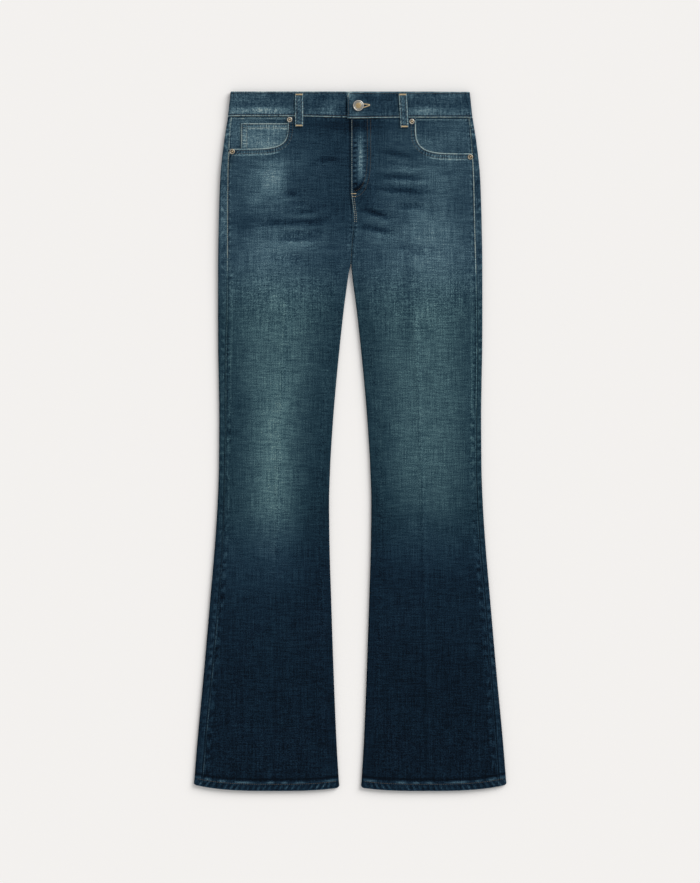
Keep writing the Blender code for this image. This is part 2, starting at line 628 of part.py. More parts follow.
def main():
    clear_scene()
    garment = bpy.data.objects.new("jeans", None)
    bpy.context.scene.collection.objects.link(garment)
    denim = make_material("denim", (0.03, 0.075, 0.105), 0.85)
    metal = make_material("antique_brass", (0.36, 0.32, 0.24), 0.4, 1.0)

    for side, word in SIDE_NAMES.items():
        on_right = side == RIGHT
        front = front_grid(side, np.concatenate([HIP_ROWS, LEG_ROWS, HEM_ROWS]))
        add_wall("front_panel_" + word, front, on_right, CLOTH, denim, garment)
        facing_rows = (YOKE_SIDE, 0.5 * (YOKE_SIDE + POCKET_SIDE[side]))
        back_rows = np.concatenate([facing_rows, pocket_rows(side), BACK_HIP_ROWS, LEG_ROWS, HEM_ROWS])
        add_wall("back_panel_" + word, back_grid(side, back_rows), on_right, CLOTH, denim, garment)
        add_wall("back_yoke_" + word, yoke_grid(side), on_right, CLOTH, denim, garment)
        add_wall("waistband_" + word, band_grid(side), not on_right, BAND_CLOTH, denim, garment)
        add_wall("pocket_facing_" + word, facing_grid(side), not on_right, CLOTH, denim, garment)
        add_extruded("back_pocket_" + word, back_pocket_outline(side), (0, 0, CLOTH), denim, garment)
    add_wall("coin_pocket", coin_grid(), False, CLOTH, denim, garment)

    across = (LOOP_WIDTH, 0, 0)
    for side, word in SIDE_NAMES.items():
        add_extruded("belt_loop_front_" + word, front_loop_outline(side), across, denim, garment)
    for word, x in BACK_LOOPS.items():
        add_extruded("belt_loop_back_" + word, back_loop_outline(x - LOOP_WIDTH / 2), across, denim, garment)

    x, down = BUTTON_AT
    tab_top = float(band_height(LEFT, x, down))
    add_turned("waist_button", BUTTON_PROFILE, 28, BUTTON_AT, tab_top + SEAM_GAP, metal, garment)
    for name, (x, down) in RIVETS.items():
        panel = float(upper_height(LEFT if x > 0 else RIGHT, abs(x) - RIVET_RADIUS, down))
        add_turned(name, RIVET_PROFILE, 16, (x, down), panel + SEAM_GAP, metal, garment)


main()
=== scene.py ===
"""Looks of the flared jeans: cloth, sewing, metal trim, floor, light and camera.

Every cloth piece is a thin closed wall on the form of its CAD solid. Its outer face is a grid of points
worked out from the pattern's tables, with finer creases and puckers on top. Lengths in the pattern are
millimetres, `out` is the distance from the centre line towards one side and `down` the distance below the
waistband's top.
A piece's wear is a share from 0, unwashed, to 1, worn white; in a few places it also carries painted shade.
"""

import logging
import math
from dataclasses import dataclass, field
from enum import Enum
from functools import partial
from typing import Any, NamedTuple

import bpy
import numpy as np
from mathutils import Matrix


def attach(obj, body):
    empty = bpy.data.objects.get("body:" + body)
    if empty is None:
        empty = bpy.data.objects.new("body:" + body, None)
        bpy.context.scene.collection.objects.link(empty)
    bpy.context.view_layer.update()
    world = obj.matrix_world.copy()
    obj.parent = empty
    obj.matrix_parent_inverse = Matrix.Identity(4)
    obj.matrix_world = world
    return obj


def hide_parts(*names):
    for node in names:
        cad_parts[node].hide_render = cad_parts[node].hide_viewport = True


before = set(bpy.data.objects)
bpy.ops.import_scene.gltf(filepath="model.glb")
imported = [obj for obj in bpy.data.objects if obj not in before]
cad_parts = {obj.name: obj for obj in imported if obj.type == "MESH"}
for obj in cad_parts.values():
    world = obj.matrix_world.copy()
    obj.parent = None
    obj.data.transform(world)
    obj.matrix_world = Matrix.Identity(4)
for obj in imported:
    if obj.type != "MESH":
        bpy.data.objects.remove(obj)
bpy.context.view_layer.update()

LOG = logging.getLogger("jeans")
MM = 0.001
Array = np.ndarray


class Side(Enum):
    """The wearer's side, with the sign of its x."""

    RIGHT = -1
    LEFT = 1

    @property
    def word(self) -> str:
        """The side's word in piece names."""
        return self.name.lower()


def smooth_step(x: Any) -> Array:
    """0 below 0, 1 above 1, and an S-shaped rise between."""
    t = np.clip(x, 0, 1)
    return t * t * (3 - 2 * t)


def bell(x: Any) -> Array:
    """A soft bump, exp(-x squared)."""
    return np.exp(-np.square(x))


def monotone(x: Any, points_x: Any, points_y: Any) -> Array:
    """A smooth curve through points that never overshoots them.

    Args:
        x: Where it is read.
        points_x: Rising places of the points.
        points_y: Their values.

    Returns:
        The curve's values, a cubic with harmonic-mean slopes.
    """
    x = np.asarray(x, float)
    points_x, points_y = np.asarray(points_x, float), np.asarray(points_y, float)
    step = np.diff(points_x)
    rise = np.diff(points_y) / step
    slope = np.empty_like(points_y)
    slope[0], slope[-1] = rise[0], rise[-1]
    before, after = rise[:-1], rise[1:]
    same = before * after > 0
    weight_before = 2 * step[1:] + step[:-1]
    weight_after = step[1:] + 2 * step[:-1]
    safe_before, safe_after = np.where(same, before, 1), np.where(same, after, 1)
    mean = (weight_before + weight_after) / (weight_before / safe_before + weight_after / safe_after)
    slope[1:-1] = np.where(same, mean, 0)
    at = np.clip(np.searchsorted(points_x, x) - 1, 0, len(step) - 1)
    t = np.clip((x - points_x[at]) / step[at], 0, 1)
    return (
        points_y[at] * (1 + 2 * t) * (1 - t) ** 2
        + points_y[at + 1] * t * t * (3 - 2 * t)
        + step[at] * slope[at] * t * (1 - t) ** 2
        - step[at] * slope[at + 1] * t * t * (1 - t)
    )


def read_column(table: Any, name: str, down: Any) -> Array:
    """One column of a table of levels, read at those levels."""
    return monotone(down, [row.down for row in table], [getattr(row, name) for row in table])


def hex_to_linear(text: str) -> tuple[float, float, float, float]:
    """Turns an sRGB hex colour to linear light.

    Args:
        text: The colour, such as #1a303f.

    Returns:
        Red, green, blue and a full alpha.
    """
    parts = [int(text[i : i + 2], 16) / 255 for i in (1, 3, 5)]
    red, green, blue = [c / 12.92 if c <= 0.04045 else ((c + 0.055) / 1.055) ** 2.4 for c in parts]
    return red, green, blue, 1.0


class Section(NamedTuple):
    """The garment at one level. The outline is the same on both sides."""

    down: float
    outer: float
    inner: float
    crown: float
    edge: float
    base: float
    seam_right: float
    seam_left: float


SECTIONS = tuple(Section(*row) for row in (
    (0, 188.1, 0, 7.6, 7.0, 1.5, 4.6, 4.6),
    (40, 192.5, 0, 7.6, 7.0, 1.5, 4.9, 4.9),
    (80, 198.6, 0, 7.6, 7.0, 1.5, 7.4, 7.0),
    (136, 204.4, 0, 7.6, 7.0, 1.5, 11.1, 9.6),
    (212, 206.9, 0, 7.6, 6.8, 1.5, 13.0, 10.4),
    (264, 207.8, 0, 7.4, 6.4, 1.5, 14.0, 9.9),
    (288, 207.9, 2.8, 7.2, 6.2, 1.3, 14.2, 9.4),
    (344, 207.9, 10.2, 6.7, 5.6, 0.6, 13.8, 8.6),
    (401, 207.7, 16.4, 6.3, 5.2, 0, 12.0, 7.8),
    (457, 206.7, 21.9, 6.2, 5.1, 0, 10.6, 7.4),
    (514, 206.0, 26.7, 6.2, 5.0, 0, 9.5, 7.6),
    (590, 206.5, 31.4, 6.2, 5.0, 0, 9.2, 8.4),
    (646, 208.5, 33.1, 6.2, 5.0, 0, 10.0, 8.8),
    (703, 212.1, 32.6, 6.2, 5.0, 0, 11.6, 8.8),
    (797, 220.0, 29.9, 6.1, 5.0, 0, 13.4, 8.4),
    (911, 229.9, 26.1, 6.0, 4.9, 0, 13.2, 9.0),
    (1024, 240.5, 21.4, 5.8, 4.8, 0, 13.0, 11.0),
    (1100, 246.6, 16.8, 5.6, 4.8, 0, 13.0, 11.6),
))


class Sag(NamedTuple):
    """How far the waistband lies below its level: its top, and its lower edge by the pockets and in front."""

    top: float
    beside: float
    middle: float


SAGS = {Side.RIGHT: Sag(0.0, -1.1, 0.8), Side.LEFT: Sag(0.6, 1.1, 2.2)}
CENTRE_SEAM = ((40, 1.6), (160, 1.8), (199, 5.6), (216, 5.0), (240, 2.8), (270, 1.0), (300, 0), (1100, 0))


class Fold(NamedTuple):
    """A soft trough: its middle, half length, half width, drop per millimetre to the left, and depth."""

    x: float
    down: float
    half_length: float
    half_width: float
    slope: float
    depth: float


FOLDS = tuple(Fold(*row) for row in (
    (-44, 112, 34, 8, -0.08, 0.6),
    (-90, 160, 46, 9, -0.03, 0.7),
    (-74, 183, 42, 8, -0.10, 0.6),
    (-128, 207, 44, 9, 0.02, 0.7),
    (-52, 203, 42, 9, -0.22, 0.8),
    (-76, 228, 58, 8, -0.06, 0.9),
    (-96, 262, 50, 10, 0.06, 0.5),
    (78, 113, 40, 8, 0.16, 0.6),
    (82, 136, 52, 8, 0.05, 0.7),
    (86, 158, 60, 9, 0.05, 0.8),
    (104, 183, 44, 8, 0.02, 0.6),
    (48, 195, 40, 8, 0.22, 0.8),
    (50, 222, 46, 9, 0.18, 0.8),
    (110, 250, 50, 10, 0.06, 0.5),
))

# Finer creases inside the soft folds, each a dark line with a worn ridge under it
CREASES = tuple(Fold(*row) for row in (
    (-38, 106.5, 26, 4.0, 0.0, 0.30),
    (-95, 161.6, 18, 3.5, 0.0, 0.30),
    (-82, 175, 20, 3.0, -0.05, 0.25),
    (-68, 189, 25, 3.5, -0.1, 0.35),
    (-90, 205.5, 70, 4.5, -0.03, 0.40),
    (-88, 222.5, 20, 3.2, -0.15, 0.25),
    (-90, 232.5, 44, 3.2, 0.02, 0.32),
    (-34, 246, 26, 4.0, -0.1, 0.2),
    (73, 98.5, 36, 4.5, 0.19, 0.40),
    (76, 134, 48, 4.0, 0.05, 0.42),
    (81, 155, 58, 4.2, 0.06, 0.42),
    (94.5, 179.7, 30, 4.0, 0.0, 0.35),
    (42, 191.5, 31, 4.5, 0.24, 0.48),
    (40, 215.6, 32, 4.5, 0.205, 0.45),
    (70, 244, 34, 4.2, 0.1, 0.2),
    (-148, 118, 24, 4.0, 0.1, 0.15),
    (154, 128, 26, 4.0, -0.14, 0.18),
))

# The seat has the same kind of creases on its hidden side
SEAT_CREASES = tuple(Fold(*row) for row in (
    (-70, 258, 44, 6, -0.16, 0.35),
    (-96, 280, 52, 6, -0.10, 0.45),
    (-60, 300, 40, 5, -0.14, 0.30),
    (66, 262, 46, 6, 0.15, 0.38),
    (92, 286, 50, 6, 0.11, 0.42),
    (58, 306, 36, 5, 0.12, 0.28),
    (-120, 560, 40, 7, 0.08, 0.25),
    (-96, 590, 44, 7, -0.05, 0.30),
    (112, 566, 42, 7, -0.07, 0.28),
    (124, 598, 38, 7, 0.06, 0.24),
))


def fold_depth(folds: tuple[Fold, ...], x: Array, down: Array, shift: float = 0.0) -> Array:
    """How deep the troughs are at a point, each a bell across its line and (1 - t squared) squared along it.

    Args:
        folds: The troughs.
        x: Places to the wearer's left of the centre line.
        down: Levels.
        shift: How far below its line each is read, in half widths.

    Returns:
        The summed depth in millimetres.
    """
    depth = np.zeros(np.broadcast(x, down).shape)
    for one in folds:
        along = (x - one.x) / one.half_length
        across = (down - one.down - one.slope * (x - one.x)) / one.half_width - shift
        depth += one.depth * np.clip(1 - along**2, 0, 1) ** 2 * bell(across)
    return depth


@dataclass(frozen=True)
class Pattern:
    """The garment's sizes and the surfaces worked out from them."""

    length: float = 1100.0
    cloth: float = 1.2
    band_cloth: float = 2.4
    gap: float = 0.3
    rolled_gap: float = 0.45
    layer_gap: float = 0.4
    band: float = 40.0
    band_lift: float = 0.9
    hem: float = 15.0
    hem_lift: float = 0.4
    hem_step: float = 1.5
    hem_rise: float = 9.4
    hem_middle: float = 120.0
    hem_half: float = 124.0
    hem_curve_start: float = 640.0
    edge_reach: float = 22.0
    turn: float = 3.4
    fly_edge: float = 1.6
    fly_underlap: float = 14.0
    fly_lift: float = 1.5
    fly_reach: float = 40.0
    fly_foot: float = 176.0
    underlap_foot: float = 168.0
    lead: float = 8.0
    back_lead: float = 10.0
    inseam_under: float = 5.0
    tab_edge: float = -4.2
    band_underlap: float = 36.0
    band_fall: float = 0.5
    lap_reach: float = 50.0
    yoke_side: float = 58.4
    yoke_centre: float = 96.0
    yoke_reach: float = 193.5
    seat_parts: float = 190.0
    plain_row: float = 130.0
    facing_under: float = 12.0
    corner: float = 5.0
    corner_rows: float = 14.0

    def pocket_top(self, side: Side) -> float:
        """Centre line to where the pocket's edge meets the waistband."""
        return 98.0 if side is Side.RIGHT else 103.2

    def pocket_side(self, side: Side) -> float:
        """Level where the pocket's edge meets the outseam."""
        return 90.1 if side is Side.RIGHT else 97.4

    def section(self, column: str, down: Any) -> Array:
        """One column of the section table at that level."""
        return read_column(SECTIONS, column, down)

    def centre_seam(self, down: Any) -> Array:
        """Where the centre front seam and the slit below it run, to the wearer's left."""
        return monotone(down, *zip(*CENTRE_SEAM))

    def outseam(self, side: Side, down: Any) -> Array:
        """Centre line to the outseam, on the front."""
        return self.section("outer", down) - self.section("seam_" + side.word, down)

    def leg_crease(self, out: Any, down: Any) -> Array:
        """The pressed crease down the middle of each leg.

        Args:
            out: Centre line to the point.
            down: Its level.

        Returns:
            The height of a low ridge, a bell across, which fades out above the thigh and above the hem.
        """
        middle = 0.46 * self.section("outer", down) + 0.54 * self.section("inner", down)
        shown = smooth_step((down - 280) / 120) * (1 - smooth_step((down - 1050) / 35))
        return 0.5 * shown * bell((out - middle) / 5)

    def opening(self, down: Any) -> Array:
        """0 where the fronts meet at the centre seam, 1 where the legs have parted."""
        return smooth_step((down - 190) / 100)

    def upper(self, side: Side, out: Any, down: Any) -> Array:
        """Height of the upper cloth.

        Args:
            side: The wearer's side.
            out: Centre line to the point, towards that side.
            down: Its level.

        Returns:
            The crown's height, less its fall to both folds, less the soft folds, with the pressed crease, the
            fly and the turned-up hem on top.
        """
        crown, edge = self.section("crown", down), self.section("edge", down)
        from_outer = self.section("outer", down) - out - self.turn
        from_inner = out - side.value * self.centre_seam(down) - self.section("inner", down) - self.turn
        fall = smooth_step(1 - from_outer / self.edge_reach)
        fall = np.maximum(fall, smooth_step(1 - from_inner / self.edge_reach) * self.opening(down))
        height = crown - (crown - edge) * fall - fold_depth(FOLDS, side.value * out, down)
        height = height + self.leg_crease(out, down)
        if side is Side.LEFT:
            fly = smooth_step((self.fly_reach - out) / 8) * (1 - smooth_step((down - self.fly_foot) / 14))
            height = height + self.fly_lift * fly
        return height + self.hem_lift * smooth_step((down - (self.length - self.hem)) / self.hem_step)

    def hem_curve(self, out: Any, down: Any) -> Array:
        """How far a row is raised above its own level."""
        grown = smooth_step((down - self.hem_curve_start) / (self.length - self.hem_curve_start))
        return self.hem_rise * np.abs((out - self.hem_middle) / self.hem_half) ** 3 * grown

    def band_sag(self, side: Side, out: Array, down: Array, behind: Any = False) -> Array:
        """How far a point of the waistband lies below its plain level.

        Args:
            side: The wearer's side.
            out: Centre line to the point.
            down: Its level in the plain band.
            behind: Whether it is on the underside, where the band is level but for its ends.

        Returns:
            The distance in millimetres.
        """
        sag = SAGS[side]
        low = sag.beside + (sag.middle - sag.beside) * smooth_step((95 - out) / 95)
        share = down / self.band
        kept = np.where(behind, smooth_step((out - 120) / 70), 1)
        return kept * (share * low + (1 - share) * sag.top)

    def corner_lift(self, out: Array, down: Array) -> Array:
        """How far the hem's outer and inner corners are rounded off.

        Args:
            out: Centre line to the point.
            down: Its level.

        Returns:
            How far the point is raised, by a circle's arc that fades out above the hem.
        """
        beyond = np.maximum(out - self.section("outer", down), self.section("inner", down) - out)
        round_off = 1 - np.sqrt(1 - np.clip(1 + beyond / self.corner, 0, 1) ** 2)
        return self.corner * round_off * np.clip(1 - (self.length - down) / self.corner_rows, 0, 1)

    def place(self, side: Side, out: Array, down: Array, height: Array) -> Array:
        """Garment measurements as points in metres.

        Args:
            side: The wearer's side.
            out: Centre line to the points.
            down: Their levels.
            height: Their heights.

        Returns:
            Points with x to the wearer's left and y up the garment, raised by the hem's curve and corners.
        """
        y = self.length / 2 - down + self.hem_curve(out, down) + self.corner_lift(out, down)
        x, y, z = np.broadcast_arrays(side.value * out, y, height)
        return np.stack([x, y, z], axis=-1) * MM

    def inner_turn(self, side: Side, down: Array) -> tuple[Array, Array, Array]:
        """The inner fold.

        Args:
            side: The wearer's side.
            down: Levels.

        Returns:
            Its radius, how far the front's edge runs round it, and its distance from the centre line.
        """
        radius = (self.section("edge", down) - self.section("base", down)) / 2
        wrap = self.opening(down) * (math.pi * radius + self.inseam_under)
        fold = side.value * self.centre_seam(down) + np.maximum(self.section("inner", down), self.gap / 2)
        return radius, wrap, fold

    def pocket_edge(self, side: Side, count: int) -> tuple[Array, Array]:
        """The pocket's edge from the outseam to the waistband, a quarter of a squared-off ellipse.

        Args:
            side: The wearer's side.
            count: How many points.

        Returns:
            Distances from the centre line, and levels.
        """
        band = self.band + self.gap + SAGS[side].beside
        squareness = 4.9 if side is Side.RIGHT else 4.6
        angle = np.linspace(math.pi / 2, 0, count)
        down = band + (self.pocket_side(side) - band) * np.sin(angle) ** (2 / squareness)
        edge, top = self.outseam(side, down) - self.gap / 2, self.pocket_top(side)
        return top + (edge - top) * (1 - np.clip(np.cos(angle), 0, 1) ** (2 / squareness)), down

    def side_turn(self, side: Side, turn: Array, down: Array) -> tuple[Array, Array, Array]:
        """The path round the side fold.

        Args:
            side: The wearer's side.
            turn: 0 to 1 for the turn, a half circle, and 1 to 2 for the strip up to the outseam.
            down: Levels.

        Returns:
            Distances from the centre line, heights, and where the turn is centred.
        """
        base, upper = self.section("base", down), self.section("edge", down)
        radius = (upper - base) / 2
        centre = self.section("outer", down) - radius
        angle = math.pi * np.clip(turn, 0, 1)
        seam = self.outseam(side, down) + self.gap / 2
        out = centre + radius * np.sin(angle) - np.clip(turn - 1, 0, 1) * (centre - seam)
        height = np.where(turn > 1, self.upper(side, out, down), base + radius * (1 - np.cos(angle)))
        return out, height, centre

    def band_height(self, side: Side, out: Array, down: Array) -> Array:
        """Height of the waistband's upper face.

        Args:
            side: The wearer's side.
            out: Centre line to the point.
            down: Its level.

        Returns:
            The crown's height less its fall to the side. The left half climbs over the right at the button.
        """
        fall = smooth_step(1 - (self.section("outer", down) - out - self.turn) / self.edge_reach)
        height = self.section("crown", down) + self.band_lift - self.band_fall * fall
        if side is Side.LEFT:
            height = height + (self.band_cloth + self.gap) * smooth_step((self.lap_reach - out) / 12)
        return height


PATTERN = Pattern()
BUTTON_AT = (12.9, 22.3)  # to the wearer's left, and its level


class WearLevel(NamedTuple):
    """How worn the front is at a level, in per cent, down the middle of each leg and at its sides."""

    down: float
    right: float
    left: float
    sides: float


WEAR = tuple(WearLevel(*row) for row in (
    (40, 20, 23, 17),
    (110, 24.5, 27, 17),
    (170, 27, 30, 18),
    (240, 42, 44, 27),
    (300, 46, 45, 26),
    (380, 46, 45, 22),
    (470, 50, 46, 21),
    (520, 55, 46, 20),
    (590, 54, 44, 17),
    (645, 54, 36, 12),
    (676, 43, 26, 11),
    (707, 32, 21, 9),
    (740, 21, 14.5, 8),
    (770, 15, 8, 7),
    (800, 10.5, 8, 6.5),
    (870, 7, 5, 5.5),
    (940, 5, 3, 4),
    (1100, 4, 3, 3.5),
))


class TonePatch(NamedTuple):
    """A soft patch rubbed lighter, or left darker, in per cent of wear; a few darker ones are painted shade.
    """

    x: float
    down: float
    to_right: float  # reach towards the wearer's right
    to_left: float
    reach: float  # up and down
    amount: float
    slope: float = 0.0


FRONT_WASHES_AND_SHADE = tuple(TonePatch(*row) for row in (
    (-124, 139, 24, 14, 30, 26),
    (-106, 140, 14, 9, 27, 16),
    (-175, 150, 60, 60, 120, 13),
    (158, 150, 70, 60, 120, 15),
    (-149, 171, 12, 12, 10, 9),
    (-160, 207, 20, 16, 14, -7),
    (-88, 112, 26, 24, 15, 8),
    (87, 124, 12, 16, 6, 9),
    (16.2, 104, 4.2, 4.6, 38, 46),
    (16, 149, 12, 10, 8, -18),
    (92, 170, 30, 34, 12, 6, 0.04),
    (104, 143, 26, 22, 5, 8),
    (98, 166, 34, 34, 12, -13),
    (111, 222, 14, 16, 28, 3),
    (88, 195, 10, 10, 12, -9),
    (105, 124, 20, 20, 6, 6),
    (166, 195, 18, 30, 50, -7),
    (-110, 210, 80, 90, 15, -7),
    (-172, 220, 20, 22, 42, -9),
    (-54, 218, 16, 14, 10, -8),
    (-70, 270, 30, 36, 28, -8),
    (64, 254, 26, 26, 12, -6),
    (-184, 690, 26, 28, 110, 8),
    (91, 330, 7, 7, 80, -13),
    (-100, 248, 60, 50, 12, 5),
    (-130, 114, 44, 30, 4, 8),
    (60, 122, 30, 30, 10, 5, 0.1),
    (20, 170, 10, 14, 16, -8),
    # These two darker patches just below the waistband are painted shade under its edge
    (0, 52, 90, 76, 11, -10),
    (18, 52, 20, 24, 12, -6),
    (112, 98, 20, 22, 6, -9),
    (-30, 264, 14, 16, 10, -6),
    (42, 264, 16, 16, 10, -4),
    (64, 219, 14, 12, 8, -6),
    (114, 352, 22, 22, 34, 4),
))

BAND_WASHES_AND_SHADE = tuple(TonePatch(*row) for row in (
    (-150, 14, 60, 50, 11, 9),
    (-132, 31, 76, 28, 6, 32),
    (116, 30, 26, 34, 6.5, 30),
    (52, 30, 22, 18, 8, -4),
    (-30, 9, 40, 22, 3.0, -6),
    (-104, 22, 90, 80, 3.5, -5),
    (130, 21, 60, 60, 3.5, -5),
    (-30, 31, 26, 16, 5, 12),
    (-152, 30, 30, 24, 6, 8),
    (-104, 31, 14, 12, 6, 9),
    (182, 30, 24, 24, 7, 10),
    (-101, 13, 12, 12, 8, -7),
    (62, 12, 14, 14, 9, -9),
    (3, 18, 4, 5, 22, 8),
    # A thin dark strip just beside the tab's edge is the tab's painted shadow
    (-4.8, 22, 2.0, 2, 17, -26),
    (-4.0, 3, 2.0, 5, 6, 55),
    (30, 9, 14, 18, 6, -9, 0.3),
    (52, 20, 20, 20, 12, -6, 0.2),
    (150, 8, 60, 50, 5, 7),
))


def wash_and_shade(tone_patches: tuple[TonePatch, ...], x: Array, down: Array) -> Array:
    """Wear added by soft patches, some of them painted shade.

    Args:
        tone_patches: The patches.
        x: Places to the wearer's left of the centre line.
        down: Levels.

    Returns:
        The summed share, each patch a bell across and a flattened bell, exp(-|x|^2.6), up and down.
    """
    total = np.zeros(np.broadcast(x, down).shape)
    for one in tone_patches:
        along = (x - one.x) / np.where(x < one.x, one.to_right, one.to_left)
        across = (down - one.down - one.slope * (x - one.x)) / one.reach
        total += one.amount / 100 * bell(along) * np.exp(-np.abs(across) ** 2.6)
    return total


def wear_at(column: str, down: Array) -> Array:
    """One column of the wear table at those levels, as a share."""
    return read_column(WEAR, column, down) / 100


def teal_cast(down: Array) -> Array:
    """How far the cloth leans to teal: not at the hips, fully on the thighs, and not below the knees."""
    return smooth_step((down - 250) / 110) * (1 - smooth_step((down - 640) / 120))


def front_wear_and_shade(side: Side, out: Array, down: Array) -> Array:
    """Wear of a front panel, with patches of painted shade below the waistband.

    Args:
        side: The wearer's side.
        out: Centre line to the point.
        down: Its level.

    Returns:
        The level's wear at the sides, rising in a bell to the leg's middle, with the washes and the painted
        shade below the waistband, and darker and lighter lines where it is creased.
    """
    sides, middle = wear_at("sides", down), wear_at(side.word, down)
    inner, outer = PATTERN.section("inner", down), PATTERN.section("outer", down)
    half = (outer - inner) / 2
    narrow = smooth_step((down - 400) / 120) if side is Side.RIGHT else 0
    centre = 1.04 - 0.03 * narrow * smooth_step((down - 520) / 120)
    across = np.abs((out - inner - centre * half) / half)
    wide = 0.69 if side is Side.RIGHT else 0.77
    rub = np.exp(-((across / (wide - 0.20 * narrow)) ** (3 - narrow)))
    x = side.value * out
    wear = sides + (middle - sides) * rub + wash_and_shade(FRONT_WASHES_AND_SHADE, x, down)
    wear = wear - 0.40 * fold_depth(CREASES, x, down) + 0.28 * fold_depth(CREASES, x, down, 2.0)
    wear = wear - 0.08 * fold_depth(FOLDS, x, down) + 0.06 * fold_depth(FOLDS, x, down, 1.6)
    middle_line = inner + 0.46 * (outer - inner)
    pressed = smooth_step((down - 260) / 160)
    return wear + 0.02 * pressed * (bell((out - middle_line - 3) / 3) - bell((out - middle_line + 3) / 3))


class SeamLook(NamedTuple):
    """How the cloth looks beside a sewn edge."""

    width: float  # of its puckered band, in millimetres
    period: float  # of the puckers along the edge
    edge: float  # how worn the very edge is
    pucker: float  # how strongly the puckers show
    ditch: float  # how dark the line inside the worn edge is
    ridge: float = 0.0  # how worn the ridge is where the band ends


POCKET_SEAM = SeamLook(9.9, 4.1, 0.64, 0.24, 0.08, 0.40)
WAIST_SEAM = SeamLook(7.0, 8.0, -0.12, 0.08, 0.0)
FLY_SEAM = SeamLook(9.0, 8.2, 0.42, 0.04, 0.08)
UNDERLAP_SEAM = SeamLook(7.0, 8.0, 0.0, 0.02, 0.12)
CENTRE_SEAM_LOOK = SeamLook(7.0, 8.0, 0.10, 0.12, 0.10)
OUT_SEAM = SeamLook(7.0, 13.0, 0.50, 0.14, 0.16)
THIGH_SEAM = SeamLook(8.4, 11.0, 0.24, 0.10, 0.14, 0.16)
LOW_SEAM = SeamLook(10.0, 20.0, 0.13, 0.13, 0.03)
HEM_SEAM = SeamLook(13.0, 8.6, 0.14, 0.05, 0.0)
BAND_TOP_SEAM = SeamLook(5.0, 7.0, 0.38, 0.08, 0.10)
BAND_LOW_SEAM = SeamLook(9.0, 4.6, 0.56, 0.10, 0.20)
TAB_SEAM = SeamLook(5.0, 8.0, 0.24, 0.10, 0.08)
HIP_STRIP_SEAM = SeamLook(10.0, 17.0, 0.10, 0.14, -0.04)
LEG_STRIP_SEAM = SeamLook(8.0, 15.0, -0.04, 0.12, -0.06)
YOKE_STRIP_SEAM = SeamLook(8.0, 9.0, 0.30, 0.14, 0.10)
YOKE_SEAM = SeamLook(6.0, 10.0, 0.12, 0.12, 0.06)
FACING_SEAM = SeamLook(5.0, 6.0, 0.42, 0.12, 0.16)
COIN_TOP_SEAM = SeamLook(8.6, 3.6, 0.42, 0.20, 0.20, 0.26)
COIN_SIDE_SEAM = SeamLook(9.5, 5.0, 0.36, 0.22, 0.16, 0.14)
LOOP_SEAM = SeamLook(3.6, 6.0, 0.32, 0.16, 0.14)
PATCH_SEAM = SeamLook(7.0, 5.0, 0.35, 0.20, 0.08)
PATCH_TOP_SEAM = SeamLook(14.0, 7.0, 0.35, 0.22, 0.10)
FAR = 99.0  # a distance at which no edge shows


@dataclass
class Dressing:
    """Collects, for each point of a piece, the look of the sewn edge nearest to it."""

    shape: tuple[int, int]
    seam: Array = field(init=False)
    trim: Array = field(init=False)
    rub: Array = field(init=False)
    nearest: Array = field(init=False)

    def __post_init__(self) -> None:
        """Starts with no edge near any point."""
        self.seam = np.zeros((*self.shape, 3))
        self.seam[..., 0] = FAR
        self.seam[..., 2] = 1.0
        self.trim = np.zeros((*self.shape, 3))
        self.rub = np.zeros(self.shape)
        self.nearest = np.full(self.shape, 1.6)

    def edge(self, look: SeamLook, distance: Array, run: Array, where: Any = True) -> None:
        """Dresses the points near one edge.

        Args:
            look: What it looks like.
            distance: Each point's distance from the edge.
            run: Its place along the edge.
            where: Points that may take it.
        """
        distance, run, where = np.broadcast_arrays(distance, run, where)
        reach = np.clip(distance, 0, None) / look.width
        closer = where & (reach < self.nearest)
        row = np.stack([distance, run / look.period, np.full(distance.shape, look.width)], axis=-1)
        self.seam[closer] = row[closer]
        self.trim[closer] = (look.edge, look.pucker, look.ditch)
        self.rub[closer] = look.ridge * bell((distance[closer] - look.width) / 1.1)
        self.nearest[closer] = reach[closer]


def beside(points_x: Array, points_y: Array, line_x: Array, line_y: Array) -> tuple[Array, Array]:
    """Distances from points to a line of many short steps.

    Args:
        points_x: The points' first coordinates.
        points_y: Their second ones.
        line_x: The line's first coordinates.
        line_y: Its second ones.

    Returns:
        Each point's distance from the line, and how far along it the nearest place is.
    """
    run = np.concatenate([[0], np.cumsum(np.hypot(np.diff(line_x), np.diff(line_y)))])
    gaps = np.hypot(points_x[..., None] - line_x, points_y[..., None] - line_y)
    at = gaps.argmin(axis=-1)
    return np.take_along_axis(gaps, at[..., None], axis=-1)[..., 0], run[at]


def tangents(grid: Array) -> Array:
    """Unit tangents down a grid's columns.

    Args:
        grid: Points by row and column.

    Returns:
        The way from the row before to the row after. The end ones are mirrored about the last step, so that a
        curve keeps its turn to the end.
    """
    chord = np.diff(grid, axis=0)
    chord /= np.linalg.norm(chord, axis=-1, keepdims=True)
    inner = grid[2:] - grid[:-2]
    inner /= np.linalg.norm(inner, axis=-1, keepdims=True)
    first = 2 * np.sum(chord[:1] * inner[:1], axis=-1, keepdims=True) * chord[:1] - inner[:1]
    last = 2 * np.sum(chord[-1:] * inner[-1:], axis=-1, keepdims=True) * chord[-1:] - inner[-1:]
    return np.concatenate([first, inner, last])


def add_node(tree: Any, kind: str, inputs: Any = (), **settings: Any) -> Any:
    """Adds a shader node.

    Args:
        tree: The node tree.
        kind: The node's type, without its ShaderNode.
        inputs: Values, or the sockets that feed them, in the inputs' order or by their names or numbers.
        **settings: The node's own properties.

    Returns:
        Its outputs.
    """
    node = tree.nodes.new("ShaderNode" + kind)
    for name, value in settings.items():
        setattr(node, name, value)
    for name, value in inputs.items() if isinstance(inputs, dict) else enumerate(inputs):
        if isinstance(value, bpy.types.NodeSocket):
            tree.links.new(value, node.inputs[name])
        else:
            node.inputs[name].default_value = value
    return node.outputs


